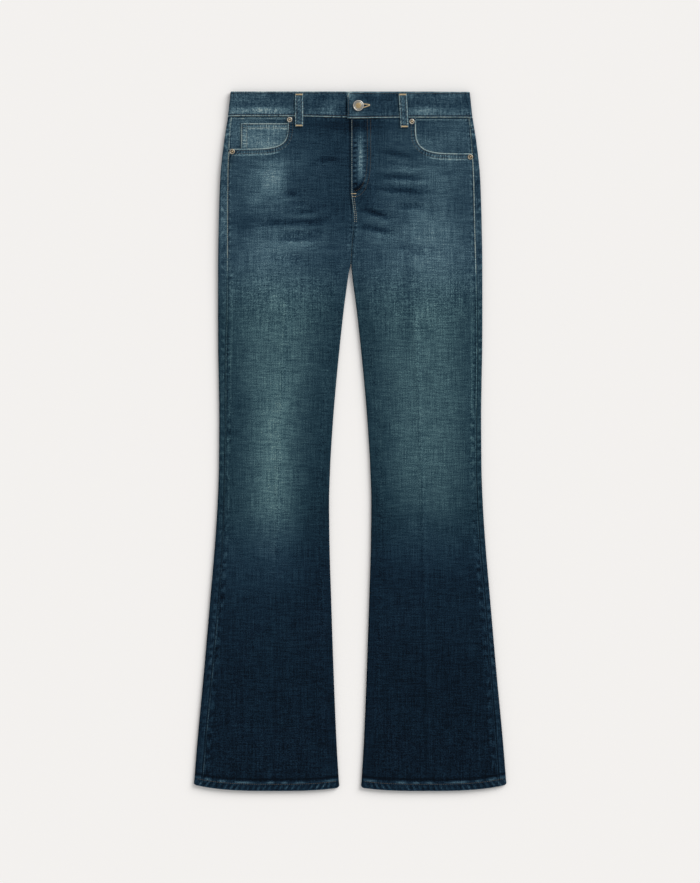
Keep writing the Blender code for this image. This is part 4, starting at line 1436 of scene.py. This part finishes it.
@dataclass
class Waistband:
    """Half the waistband, from its front end over the side fold to the centre back."""

    side: Side
    corner: float = 6.8  # radius of the tab's upper corner
    corner_reach: float = 16.0
    edge_round: float = 1.8  # radius of the folded edges
    top_drop: float = 0.55
    low_drop: float = 0.45

    def relief(self, x: Array, down: Array) -> tuple[Array, Array]:
        """The soft ripples along the band and its other small forms.

        Args:
            x: Places to the wearer's left of the centre line.
            down: Levels.

        Returns:
            The ripples alone, two uneven rows of sines, and all forms: the ripples, the folded edges'
            rounding on a circle's arc, and on the left half the slanted crease that the button pulls.
        """
        ripple = 0.10 * np.sin(x / 9.5 + 2 * np.sin(x / 37)) * bell((down - 30) / 10)
        ripple = ripple + 0.07 * np.sin(x / 6.1 + 1.3 * np.sin(x / 19)) * bell((down - 6) / 6)
        made = ripple
        for drop, inside in ((self.top_drop, down), (self.low_drop, PATTERN.band - down)):
            bend = np.clip(1 - inside / self.edge_round, 0, 1)
            made = made - drop * (1 - np.sqrt(np.clip(1 - bend**2, 0, 1)))
        if self.side is Side.LEFT:
            pull = (x - BUTTON_AT[0]) * 0.36 - (down - 8)
            made = made - 0.22 * bell(pull / 3) * smooth_step((34 - x) / 8) * smooth_step((x - 20) / 4)
        return ripple, made

    def build(self, denim: Any) -> None:
        """Makes the half.

        Args:
            denim: Its material.
        """
        side, p = self.side, PATTERN
        ends = np.array([0, 0.4, 1.0, 1.8, 2.8])
        down = np.concatenate([ends, np.linspace(4, p.band - 4, 23), p.band - ends[::-1]])[:, None]
        outer, base = p.section("outer", down), p.section("base", down)
        fold_top = p.band_height(side, outer, down)
        radius = (fold_top - base) / 2
        centre = outer - radius
        first = p.tab_edge if side is Side.LEFT else -p.band_underlap
        lap = first + np.concatenate([ends[:-1], np.linspace(3, 53, 42)]) + 0 * down
        front = lap[:, -1:] + np.linspace(0, 1, 72)[1:] * (centre - lap[:, -1:])
        if side is Side.LEFT:
            # The tab's upper corner is rounded
            arc = 1 - np.sqrt(1 - np.clip(1 - down / self.corner, 0, 1) ** 2)
            lap = lap + self.corner * arc * np.clip(1 - (lap - first) / self.corner_reach, 0, 1)
        top = np.concatenate([lap, front], axis=1)
        angle = np.linspace(0, math.pi, 13)[1:]
        turn_height = fold_top - radius * (1 - np.cos(angle))
        under = centre - np.linspace(0, 1, 60)[1:] * (centre - p.gap / 2)
        out = np.concatenate([top, centre + radius * np.sin(angle), under], axis=1)
        height = np.concatenate([p.band_height(side, top, down), turn_height, base + 0 * under], axis=1)
        column = np.arange(out.shape[1])
        behind = column >= out.shape[1] - under.shape[1]
        shown = np.where(column < top.shape[1] + len(angle) // 2, 1.0, 0.0)
        grid = p.place(side, out, down + p.band_sag(side, out, down, behind), height)
        x = side.value * out
        ripple, relief = self.relief(x, down)
        wear = 0.30 + wash_and_shade(BAND_WASHES_AND_SHADE, x, down) * shown + 0.03 * np.sin(x / 13 + down / 5)
        dashes = np.sin(x / 1.15 + 2.6 * np.sin(x / 7.3) + 0.25 * down) * (1 + np.sin(x / 11 + 1))
        wear = wear + 0.6 * ripple + 0.035 * dashes * bell((down - 30) / 6) * shown
        made = Dressing(grid.shape[:2])
        made.edge(BAND_TOP_SEAM, down, x)
        made.edge(BAND_LOW_SEAM, p.band - down, x)
        made.edge(TAB_SEAM, out - out[:, :1], down, out < first + 7)
        wall = Wall("waistband_" + side.word, grid, side is Side.LEFT, p.band_cloth, wear, made)
        wall.relief = relief
        rests = ["waistband_right_cloth"] if side is Side.LEFT else []
        depth = p.band * MM
        wall.build(denim, (round(grid_area(grid) / depth, 4), depth), rests)


@dataclass
class PocketFacing:
    """The piece that shows in a front pocket's opening."""

    side: Side
    dip_edge: float = 173.9  # how far out the cloth lies lowest under the coin pocket
    dip_rows: float = 8.0
    inset: float = 5.0

    def build(self, denim: Any) -> None:
        """Makes the facing, which dips under the coin pocket on the wearer's right.

        Args:
            denim: Its material.
        """
        side, p = self.side, PATTERN
        top, low = p.band + p.gap + SAGS[side].beside, p.pocket_side(side)
        dipping = np.linspace(top, top + self.dip_rows, 13)[:-1]
        hidden = low + p.facing_under * np.linspace(0.12, 1, 8)
        down = np.concatenate([dipping, np.linspace(top + self.dip_rows, low, 28), hidden])[:, None]
        inset = self.inset * np.clip((down - low) / p.facing_under, 0, 1)
        edge = p.outseam(side, down) - p.gap / 2 - inset
        inner = p.pocket_top(side) - p.facing_under + inset
        last = np.array([0.85, 0.7, 0.56, 0.44, 0.34, 0.26, 0.19, 0.13, 0.08, 0.04, 0])
        flat_part = inner + np.linspace(0, 1, 54) * (self.dip_edge - inner)
        out = np.concatenate([flat_part, edge - last * (edge - self.dip_edge)], axis=1)
        level = p.cloth + p.layer_gap
        if side is Side.RIGHT:
            dip = smooth_step((down - top) / self.dip_rows)
            level = level + dip * smooth_step((edge - out) / (edge - self.dip_edge)) * (p.cloth + p.layer_gap)
        grid = p.place(side, out, down, p.upper(side, out, down) - level)
        made = Dressing(grid.shape[:2])
        made.edge(FACING_SEAM, edge - out, down)
        # Painted shade just under the waistband's edge, a worn line below it, and on the left side rubbed in
        # the middle
        wear = 0.39 if side is Side.RIGHT else 0.30 + 0.09 * smooth_step((down - 58) / 18)
        wear = wear + 0.06 * np.sin(out / 17 + 1) * np.sin(down / 12)
        wear = wear - 0.16 * bell((down - top) / 1.1) + 0.30 * bell((down - top - 3.0) / 1.2)
        wear = wear + 0.07 * bell((down - 53) / 8) * bell((out - 124) / 26) * (side is Side.LEFT)
        wall = Wall("pocket_facing_" + side.word, grid, side is Side.LEFT, p.cloth, wear, made)
        wall.build(denim, (0.112, 0.066), [])


@dataclass
class CoinPocket:
    """The small patch on the wearer's right facing. Its side and bottom run on under the front panel."""

    inner: float = 88.0
    outer: float = 171.7
    top: float = 50.0
    under: float = 9.0

    def build(self, denim: Any) -> None:
        """Makes the patch.

        Args:
            denim: Its material.
        """
        p, side = PATTERN, Side.RIGHT
        down = np.linspace(self.top, p.pocket_side(side) + self.under, 44)[:, None]
        out = np.linspace(self.inner, self.outer, 76) + 0 * down
        grid = p.place(side, out, down, p.upper(side, out, down) - p.cloth - p.layer_gap)
        made = Dressing(grid.shape[:2])
        made.edge(COIN_TOP_SEAM, down - self.top, out)
        made.edge(COIN_SIDE_SEAM, self.outer - out, down)
        wear = 0.57 + 0.03 * np.sin(out / 15)
        wear = wear - 0.14 * smooth_step((130 - out) / 40) + 0.05 * np.sin(down / 6 + out / 21)
        wall = Wall("coin_pocket", grid, False, p.cloth, wear, made)
        wall.build(denim, (0.0837, 0.0491), ["pocket_facing_right_cloth"])


class LoopPoint(NamedTuple):
    """A point along a front belt loop: its level, how far it stands off, and its thickness."""

    down: float
    stand: float
    thick: float


LOOP_POINTS = tuple(LoopPoint(*row) for row in (
    (3.3, 0, 2.2),
    (9, 0, 2.2),
    (14, 0.7, 1.5),
    (22, 1.0, 1.5),
    (30, 0.7, 1.5),
    (36, 0, 1.5),
    (41.5, 0, 1.5),
    (45, 0, 2.2),
    (55.4, 0, 2.2),
))


@dataclass
class BeltLoop:
    """A belt loop, folded from a strip, with its ends tucked under."""

    name: str
    x: float
    front: bool
    slant: float = 0.0
    sag: float = 0.0
    width: float = 12.6
    top: float = 3.3
    low: float = 55.4
    step: float = 41.5  # level where it leaves the waistband, and how long that takes
    step_length: float = 3.5
    fold: float = 1.3  # radius of its folded sides
    fold_drop: float = 0.42

    def off_band(self, down: Array) -> Array:
        """0 on the waistband and 1 below it."""
        return smooth_step((down - self.step) / self.step_length)

    def line(self, down: Array) -> tuple[Array, Array]:
        """The loop's middle at its plain levels, and where those levels are on a loop that hangs lower."""
        shown = down + self.sag * self.off_band(down)
        return self.x + self.slant * (shown - 30), shown

    def heights(self, down: Array) -> tuple[Array, Array]:
        """How high the loop lies.

        Args:
            down: Levels.

        Returns:
            Heights of its underside and its upper side. A back loop lies flat on the floor.
        """
        if not self.front:
            return 0 * down, 0 * down + PATTERN.cloth
        panel = SECTIONS[0].crown + PATTERN.gap + PATTERN.band_lift * (1 - self.off_band(down))
        low = panel + read_column(LOOP_POINTS, "stand", down)
        return low, low + read_column(LOOP_POINTS, "thick", down)

    def build(self, denim: Any) -> None:
        """Makes the loop as two faces with rounded sides.

        Args:
            denim: Its material.
        """
        down = np.linspace(self.top, self.low, 64)[:, None]
        ends = np.array([0, 0.25, 0.7, 1.3])
        across = np.concatenate([ends, np.linspace(2, self.width - 2, 9), self.width - ends[::-1]])
        low, high = self.heights(down)
        arc = 1 - np.sqrt(np.clip(1 - np.clip(1 - ends / self.fold, 0, 1) ** 2, 0, 1))
        pull = self.fold_drop * np.concatenate([arc, np.zeros(9), arc[::-1]])
        middle, shown = self.line(down)
        x = middle - self.width / 2 + across
        y = PATTERN.length / 2 - shown
        heights = [high - pull, low] if self.front else [low, high - pull]
        grids = [np.stack(np.broadcast_arrays(x, y, z), axis=-1) for z in heights]
        points = np.concatenate([grid.reshape(-1, 3) for grid in grids])
        faces = closed_wall(*x.shape, self.front)
        made = Dressing(x.shape)
        made.edge(LOOP_SEAM, np.minimum(across, self.width - across), down)
        mottle = np.sin(down / 1.1 + 1.6 * np.sin(down / 3.7) + 0.5 * across)
        mottle = mottle * np.sin(down / 4.3 + 0.8 * across)
        wear = 0.43 + 0.17 * mottle + 0.10 * bell((down - 5) / 3)
        # The darker band at the loop's lower end, where it turns under, is painted shade
        wear = wear - 0.14 * bell((down - self.low) / 1.6) - 0.08 * bell((down - 11) / 3)
        plain = np.zeros(2 * x.size)
        values = {"wear": np.tile(wear.ravel(), 2), "cast": plain, "inside": plain}
        for key, data in (("seam", made.seam), ("trim", made.trim)):
            values[key] = np.tile(data.reshape(-1, 3), (2, 1))
        made = mesh_of(self.name + "_cloth", points * MM, faces.tolist(), denim, values)
        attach(made, "root")
        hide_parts(self.name)


@dataclass
class BackPocket:
    """A five-sided patch pocket on the underside."""

    side: Side
    centre: float = 100.0
    top: float = 112.0
    top_width: float = 142.0
    low_width: float = 116.0
    height: float = 118.0
    point: float = 20.0
    tilt: float = 6.0

    def build(self, denim: Any) -> None:
        """Makes the patch, its rows from the sloped top to the pointed bottom.

        Args:
            denim: Its material.
        """
        side, p = self.side, PATTERN
        v = np.linspace(0, 1, 60)[:, None]
        u = np.linspace(-1, 1, 61)
        half = (self.top_width + (self.low_width - self.top_width) * v) / 2
        top = self.top + self.tilt * (u + 1) / 2
        low = self.top + self.height + self.point * (1 - np.abs(u))
        down = top + v * (low - top)
        out = self.centre + u * half
        grid = p.place(side, out, down, 0 * out)
        made = Dressing(grid.shape[:2])
        made.edge(PATCH_SEAM, (1 - np.abs(u)) * half, down)
        made.edge(PATCH_SEAM, low - down, out)
        made.edge(PATCH_TOP_SEAM, down - top, out)
        wear = 0.30 + 0.14 * bell((out - self.centre) / 45) * bell((down - 190) / 50)
        wall = Wall("back_pocket_" + side.word, grid, side is Side.RIGHT, p.cloth, wear, made)
        wall.build(denim, (0.142, 0.138), [])


@dataclass
class Sewing:
    """Every row of stitches in one colour, joined into one piece."""

    name: str
    thread: Thread
    radius: float
    centres: list[Array] = field(default_factory=list)
    ways: list[Array] = field(default_factory=list)
    ups: list[Array] = field(default_factory=list)
    lengths: list[Array] = field(default_factory=list)

    def row(self, points: Array, up: float = 1.0, pitch: float = 3.4, length: float = 2.5) -> None:
        """Adds a row of stitches along a line.

        Args:
            points: The line, in metres, on the cloth.
            up: 1 where the thread lies on top and -1 on the underside.
            pitch: Start of one stitch to the start of the next, in millimetres.
            length: Of a stitch.
        """
        run = np.concatenate([[0], np.cumsum(np.linalg.norm(np.diff(points, axis=0), axis=1))])
        count = max(1, int(run[-1] / (pitch * MM)))
        at = (np.arange(count) + 0.5) * run[-1] / count
        ends = [at - length * MM / 2, at + length * MM / 2]
        first, last = [np.stack([np.interp(e, run, points[:, k]) for k in range(3)], axis=1) for e in ends]
        way = last - first
        way /= np.linalg.norm(way, axis=1, keepdims=True)
        self.centres.append((first + last) / 2)
        self.ways.append(way)
        self.ups.append(np.full(count, up))
        self.lengths.append(np.full(count, length))

    def build(self) -> None:
        """Makes the piece from one six-sided stitch, thin at its ends and arched over the cloth."""
        sides = 6
        angle = np.arange(sides) * 2 * math.pi / sides
        along = np.array([-0.5, -0.28, 0.28, 0.5])
        thick = np.array([0.35, 1.0, 1.0, 0.35])
        lift = np.array([-0.25, 0.35, 0.35, -0.25])
        ring = np.stack([np.cos(angle), np.sin(angle)], axis=1)
        template = np.zeros((4, sides, 3))
        template[..., 0] = along[:, None]
        template[..., 1:] = ring * thick[:, None, None]
        template[..., 2] += lift[:, None]
        template = template.reshape(-1, 3)
        index = np.arange(4 * sides).reshape(4, sides)
        turned = np.roll(index, -1, axis=1)
        body = np.stack([index[:-1], index[1:], turned[1:], turned[:-1]], axis=-1).reshape(-1, 4)
        caps = np.array([[0, 1, 2, 3], [0, 3, 4, 5], [21, 20, 19, 18], [23, 22, 21, 18]])
        centre, way = np.concatenate(self.centres), np.concatenate(self.ways)
        up, length = np.concatenate(self.ups), np.concatenate(self.lengths)
        high = np.zeros_like(way)
        high[:, 2] = up
        high -= np.sum(high * way, axis=1, keepdims=True) * way
        high /= np.linalg.norm(high, axis=1, keepdims=True)
        across = np.cross(high, way)
        aside = template[:, 1, None] * across[:, None] + template[:, 2, None] * high[:, None]
        along = template[:, 0, None] * (length * MM)[:, None, None] * way[:, None]
        points = centre[:, None] + along + self.radius * MM * aside
        faces = np.concatenate([body, caps])[:, ::-1]
        starts = np.arange(len(centre)) * 4 * sides
        faces = (faces + starts[:, None, None]).reshape(-1, 4).tolist()
        made = mesh_of(self.name, points.reshape(-1, 3), faces, self.thread.material(), {})
        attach(made, "root")
        LOG.info("%s: %d stitches", self.name, len(centre))


def on_front(side: Side, out: Any, down: Any, lift: float = 0.1) -> Array:
    """Points just over the front's cloth.

    Args:
        side: The wearer's side.
        out: Centre line to the points.
        down: Their levels.
        lift: How far over the cloth they are.

    Returns:
        The points in metres.
    """
    out, down = np.broadcast_arrays(np.asarray(out, float), np.asarray(down, float))
    height = PATTERN.upper(side, out, down) - fold_depth(CREASES, side.value * out, down)
    return PATTERN.place(side, out, down, height + lift)


def on_band(side: Side, out: Array, down: Array, lift: float = 0.05) -> Array:
    """Points just over the waistband's cloth, in metres."""
    height = PATTERN.band_height(side, out, down) + lift
    return PATTERN.place(side, out, down + PATTERN.band_sag(side, out, down), height)


def offset(line_x: Array, line_y: Array, distance: float) -> tuple[Array, Array]:
    """A line moved sideways in its plane.

    Args:
        line_x: The line's first coordinates.
        line_y: Its second ones.
        distance: How far it is moved to the left of the way it runs.

    Returns:
        The new line's coordinates.
    """
    dx, dy = np.gradient(line_x), np.gradient(line_y)
    size = np.hypot(dx, dy)
    return line_x - dy / size * distance, line_y + dx / size * distance


def sewn_in(shade: str, colour: str, radius: float) -> Any:
    """A dataclass field that starts the rows of one thread."""
    thread = Thread(shade + "_thread", colour)
    return field(default_factory=lambda: Sewing("stitches_" + shade, thread, radius))


@dataclass
class Stitching:
    """All the garment's rows of stitches, by thread."""

    cream: Sewing = sewn_in("cream", "#a9aca0", 0.36)
    tan: Sewing = sewn_in("tan", "#d6bf97", 0.54)
    brown: Sewing = sewn_in("brown", "#5c5245", 0.31)

    def pockets(self) -> None:
        """Two rows round each pocket opening and two on the coin pocket."""
        for side in Side:
            out, down = PATTERN.pocket_edge(side, 300)
            for distance in (2.4, 7.4):
                row_out, row_down = offset(out, down, -distance)
                keep = (row_down > 41) & (row_out < PATTERN.outseam(side, row_down) - 1)
                self.brown.row(on_front(side, row_out[keep], row_down[keep]), length=2.0)
        level = PATTERN.cloth + PATTERN.layer_gap
        for down in (51.4, 57.1):
            row = on_front(Side.RIGHT, np.linspace(100, 170.4, 120), down)
            self.brown.row(row - [0, 0, level * MM])
        for out in (170.1, 162.4):
            row = on_front(Side.RIGHT, out, np.linspace(52, 90, 60))
            self.brown.row(row - [0, 0, level * MM])

    def waistband(self) -> None:
        """A row along each edge of the waistband, front and back, and round the tab."""
        tab = PATTERN.tab_edge + 1.8
        for side in Side:
            start = tab if side is Side.LEFT else 0.5
            for down in (2.4, 37.6):
                # The upper row starts below the tab's rounded corner
                start = start + 2.5 * (side is Side.LEFT) * (down < 10)
                level = np.full(400, down)
                reach = PATTERN.section("outer", down)
                self.brown.row(on_band(side, np.linspace(start, reach - 3.5, 400), level), length=2.0)
                out = np.linspace(0.5, reach - 4, 400)
                shown = level + PATTERN.band_sag(side, out, level, True)
                self.brown.row(PATTERN.place(side, out, shown, PATTERN.section("base", level) - 0.05), -1.0)
        down = np.linspace(5, 38, 60)
        self.brown.row(on_band(Side.LEFT, np.full(down.shape, tab), down))

    def fly(self) -> None:
        """The fly's double curved rows, its edge, its bar tacks and the seam below it."""
        left = Side.LEFT
        for reach, start, bottom, end in ((27.0, 100.0, 156.5, 5.0), (32.1, 104.0, 165.9, 4.0)):
            # Straight down, then a quarter of a squared-off ellipse to the fly's foot
            angle = np.linspace(0, math.pi / 2, 90)
            out = np.append(np.full(60, reach), end + (reach - end) * np.cos(angle) ** 0.8)
            down = np.append(np.linspace(41, start - 1, 60), start + (bottom - start) * np.sin(angle) ** 0.9)
            self.brown.row(on_front(left, out, down), pitch=3.0, length=1.9)
        down = np.linspace(44, 168, 160)
        self.cream.row(on_front(left, PATTERN.centre_seam(down) + 0.9, down), pitch=3.0, length=1.6)
        for start, level, width, pitch in ((1.3, 160.8, 8.4, 1.1), (2.4, 165.4, 7.0, 2.3)):
            out = np.linspace(start, start + width, 12)
            self.tan.row(on_front(left, out, level + 0 * out, 0.25), pitch=pitch, length=1.5)
        down = np.linspace(168, 206, 60)
        for gap in (1.4, 4.0):
            self.cream.row(on_front(left, PATTERN.centre_seam(down) + gap, down), pitch=3.0, length=1.9)

    def outseams(self) -> None:
        """Short rows beside the outseams, which end below the hip, and the hems' rows."""
        for side in Side:
            down = np.linspace(PATTERN.pocket_side(side) + 4, 262, 200)
            self.cream.row(on_front(side, PATTERN.outseam(side, down) - 1.1, down), pitch=3.2, length=2.4)
            x = np.linspace(22, 241, 260)
            level = np.full(x.shape, PATTERN.length - 10.6)
            self.brown.row(on_front(side, x, level, 0.15))
            self.brown.row(PATTERN.place(side, np.linspace(34, 238, 260), level, 0 * x - 0.02), -1.0)

    def buttonhole(self) -> None:
        """The keyhole's close stitches, which meet in a point towards the wearer's left."""
        turn = np.linspace(0, 1, 60)
        out = BUTTON_AT[0] + 6.8 + 11.3 * turn
        middle = BUTTON_AT[1] - 2.2 + 1.15 * (1 - turn)
        for up in (-1, 1):
            for wider in (0.0, 0.5):
                down = middle + up * (2.6 * (1 - turn) ** 0.8 + wider)
                self.tan.row(on_band(Side.LEFT, out, down, 0.1), pitch=1.0, length=1.4)

    def loops(self, loops: list[BeltLoop]) -> None:
        """Edge rows and bar tacks on the belt loops.

        Args:
            loops: The belt loops.
        """
        for loop in loops:
            down = np.linspace(4.5, 54, 80)
            low, high = loop.heights(down)
            z = high + 0.02 if loop.front else low - 0.02
            up = 1.0 if loop.front else -1.0
            middle, shown = loop.line(down)
            for aside in (-3.4, 3.4):
                line = np.stack([middle + aside, PATTERN.length / 2 - shown, z], axis=1) * MM
                self.brown.row(line, up, 3.0, 1.5)
            for level in (4.3, 5.4, 53.0, 54.1):
                aside = np.linspace(-5.4, 5.4, 24)
                middle, shown = loop.line(np.full(aside.shape, level))
                low, high = loop.heights(np.full(aside.shape, level))
                z = high + 0.2 if loop.front else low - 0.1
                line = np.stack([middle + aside, PATTERN.length / 2 - shown, z], axis=1) * MM
                self.tan.row(line, up, 1.0, 1.4)

    def back(self) -> None:
        """Rows on the hidden side: yokes, centre back and the patch pockets."""
        for side in Side:
            share = np.linspace(0.02, 0.97, 160)
            base = PATTERN.section("base", np.full(share.shape, 80.0))
            for gap in (-2.2, -7.5):
                down = PATTERN.yoke_centre + (PATTERN.yoke_side - PATTERN.yoke_centre) * share + gap
                self.cream.row(PATTERN.place(side, 195 * share, down, base - 0.02), -1.0)
            pocket = BackPocket(side)
            for inset in (2.0, 8.0):
                v = np.linspace(0.02, 1, 80)
                half = (pocket.top_width + (pocket.low_width - pocket.top_width) * v) / 2 - inset
                for u in (-1, 1):
                    out = pocket.centre + u * half
                    down = pocket.top + pocket.tilt * (u + 1) / 2 + v * (pocket.height - inset - 3 * (u > 0))
                    self.cream.row(PATTERN.place(side, out, down, 0 * out - 0.02), -1.0)
                    low_out = pocket.centre + u * half[-1] * np.linspace(1, 0, 60)
                    low_down = down[-1] + pocket.point * np.linspace(0, 1, 60)
                    self.cream.row(PATTERN.place(side, low_out, low_down, 0 * low_out - 0.02), -1.0)
        down = np.linspace(98, 280, 120)
        base = PATTERN.section("base", down) - 0.02
        self.cream.row(PATTERN.place(Side.LEFT, np.full(down.shape, 2.4), down, base), -1.0)

    def build(self, loops: list[BeltLoop]) -> None:
        """Makes all the rows.

        Args:
            loops: The belt loops.
        """
        self.pockets()
        self.waistband()
        self.fly()
        self.outseams()
        self.buttonhole()
        self.loops(loops)
        self.back()
        for sewing in (self.cream, self.tan, self.brown):
            sewing.build()


class TurnedPoint(NamedTuple):
    """A point of a turned profile, with how rubbed the metal is there and how much painted shade darkens it.
    """

    radius: float
    height: float
    rub: float
    shadow: float


BUTTON_PROFILE = tuple(TurnedPoint(*row) for row in (
    (0.0, 0.0, 0, 0),
    (4.0, 0.0, 0, 0),
    (4.0, 1.0, 0, 1),
    (7.6, 1.0, 0, 1),
    (8.3, 1.2, 0, 0.4),
    (8.6, 1.7, 0, 0),
    (8.6, 2.3, 0, 0),
    (8.3, 2.9, 0, 0),
    (7.7, 3.25, 0.1, 0),
    (7.1, 3.2, 0.1, 0),
    (6.6, 2.75, 0, 0.8),
    (6.2, 2.7, 0, 0.9),
    (5.8, 3.1, 0.1, 0.2),
    (5.2, 3.2, 0.1, 0.2),
    (4.9, 2.95, 0.3, 0.8),
    (4.5, 3.1, 0.8, 0.2),
    (3.0, 3.35, 1, 0),
    (1.5, 3.45, 1, 0),
    (0.0, 3.5, 1, 0),
))
RIVET_PROFILE = tuple(TurnedPoint(*row) for row in (
    (0.0, 0.0, 0, 0),
    (4.25, 0.0, 0, 0.5),
    (4.25, 0.4, 0.3, 0),
    (3.95, 0.85, 0.2, 0),
    (3.4, 1.1, 0.3, 0),
    (2.9, 1.05, 0.3, 0.1),
    (2.4, 0.65, 0.4, 1.0),
    (1.7, 0.75, 0.5, 1.0),
    (1.4, 1.3, 0.7, 0.1),
    (1.0, 1.6, 0.7, 0),
    (0.0, 1.7, 1, 0),
))


@dataclass
class Turned:
    """A small metal piece turned round an upright axis: the waist button, or a rivet."""

    node: str
    profile: tuple[TurnedPoint, ...]
    x: float
    down: float
    height: float
    steps: int = 48
    tarnish: float = 0.0

    def build(self, metal: Any) -> None:
        """Makes the piece, its profile swept round once with one point at each pole.

        Args:
            metal: Its material.
        """
        profile = np.array(self.profile)
        around = np.arange(self.steps) * 2 * math.pi / self.steps
        inner = profile[1:-1]
        walls = np.zeros((len(inner), self.steps, 3))
        walls[..., :2] = inner[:, 0, None, None] * np.stack([np.cos(around), np.sin(around)], axis=1)
        walls[..., 2] = inner[:, 1, None]
        poles = np.array([[0, 0, profile[0, 1]], [0, 0, profile[-1, 1]]])
        place = np.array([self.x, PATTERN.length / 2 - self.down, self.height])
        points = np.concatenate([poles, walls.reshape(-1, 3)]) + place
        index = 2 + np.arange(len(inner) * self.steps).reshape(len(inner), self.steps)
        turned = np.roll(index, -1, axis=1)
        faces = np.stack([index[:-1], turned[:-1], turned[1:], index[1:]], axis=-1).reshape(-1, 4).tolist()
        faces += np.stack([0 * index[0], turned[0], index[0]], axis=-1).tolist()
        faces += np.stack([1 + 0 * index[-1], index[-1], turned[-1]], axis=-1).tolist()
        shades = {}
        # The shadow share is painted shade; tarnish raises it and the rub share on the dull rivets
        for key, column in (("rub", 2), ("shadow", 3)):
            shade = np.concatenate([profile[[0, -1], column], np.repeat(inner[:, column], self.steps)])
            shades[key] = shade + self.tarnish * (1 - shade)
        made = mesh_of(self.node + "_metal", points * MM, faces, metal, shades)
        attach(made, "root")
        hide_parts(self.node)
        LOG.info("%s: %d faces", made.name, len(faces))


@dataclass(frozen=True)
class Studio:
    """A pale floor under soft studio light, seen from straight above through a long lens."""

    distance: float = 18.0
    frame_height: float = 1.3890
    sensor: float = 24.0
    centre: tuple[float, float] = (-0.0003, -0.0004)
    floor: str = "#f8f5f2"
    floor_half: float = 4.0
    floor_level: float = -0.0006
    sky: tuple[float, ...] = (0.98, 0.99, 1.0, 1.0)
    sky_strength: float = 0.60
    lamp_power: float = 2.19
    lamp_spread: float = 40.0
    elevation: float = 32.0
    azimuth: float = 42.0

    def build(self) -> None:
        """Makes the floor, the lights and the camera."""
        mesh = bpy.data.meshes.new("floor")
        size = self.floor_half
        corners = ((-size, -size), (size, -size), (size, size), (-size, size))
        mesh.from_pydata([(x, y, self.floor_level) for x, y in corners], [], [(0, 1, 2, 3)])
        floor = bpy.data.objects.new("floor", mesh)
        bpy.context.scene.collection.objects.link(floor)
        material, _, shader = new_material("matt_paper")
        shader.inputs["Base Color"].default_value = hex_to_linear(self.floor)
        shader.inputs["Roughness"].default_value = 0.9
        shader.inputs["Specular IOR Level"].default_value = 0.0
        mesh.materials.append(material)

        world = bpy.data.worlds.new("studio")
        bpy.context.scene.world = world
        world.use_nodes = True
        background = world.node_tree.nodes["Background"]
        background.inputs[0].default_value = self.sky
        background.inputs[1].default_value = self.sky_strength

        # One wide, even key lamp far off to the right, as soft as a big window
        lamp = bpy.data.lights.new("key", "SUN")
        lamp.angle = math.radians(self.lamp_spread)
        lamp.energy = self.lamp_power
        key = bpy.data.objects.new("key", lamp)
        key.rotation_euler = (math.radians(90 - self.elevation), 0, math.radians(90 + self.azimuth))
        bpy.context.scene.collection.objects.link(key)

        lens = bpy.data.cameras.new("camera")
        lens.sensor_fit, lens.sensor_height = "VERTICAL", self.sensor
        lens.lens = self.sensor * self.distance / self.frame_height
        camera = bpy.data.objects.new("camera", lens)
        camera.location = (*self.centre, self.distance)
        bpy.context.scene.collection.objects.link(camera)
        bpy.context.scene.camera = camera
        bpy.context.scene.view_settings.view_transform = "Standard"


def main() -> None:
    """Builds every piece."""
    logging.basicConfig(level=logging.INFO, format="%(message)s")
    leg_denim = Denim("denim", Grain.ALONG_LEG).material()
    band_denim = Denim("denim_band", Grain.ALONG_BAND, 0.75).material()
    metal = AntiqueMetal("antique_metal").material()
    for side in Side:
        FrontPanel(side).build(leg_denim)
        BackPanel(side).build(leg_denim)
        BackYoke(side).build(leg_denim)
        Waistband(side).build(band_denim)
        PocketFacing(side).build(leg_denim)
        BackPocket(side).build(leg_denim)
    CoinPocket().build(leg_denim)
    loops = [
        BeltLoop("belt_loop_front_right", -80.4, True),
        BeltLoop("belt_loop_front_left", 84.0, True, slant=0.058, sag=1.5),
        BeltLoop("belt_loop_back_right", -108.0, False),
        BeltLoop("belt_loop_back_centre", 0.0, False),
        BeltLoop("belt_loop_back_left", 108.0, False),
    ]
    for loop in loops:
        loop.build(leg_denim)
    Stitching().build(loops)
    tab_top = float(PATTERN.band_height(Side.LEFT, *BUTTON_AT))
    Turned("waist_button", BUTTON_PROFILE, *BUTTON_AT, tab_top + PATTERN.gap).build(metal)
    # Each rivet's place, and how dull it is
    rivets = (
        ("rivet_waist_right", -95.2, 44.4, 0.0),
        ("rivet_side_right", -185.6, 94.5, 0.3),
        ("rivet_waist_left", 97.0, 47.2, 0.0),
        ("rivet_side_left", 189.0, 102.9, 0.3),
    )
    for node, x, down, tarnish in rivets:
        side = Side.LEFT if x > 0 else Side.RIGHT
        panel = float(PATTERN.upper(side, abs(x) - RIVET_PROFILE[1].radius, down))
        Turned(node, RIVET_PROFILE, x, down, panel + PATTERN.gap, 32, tarnish).build(metal)
    Studio().build()


if __name__ == "__main__":
    main()
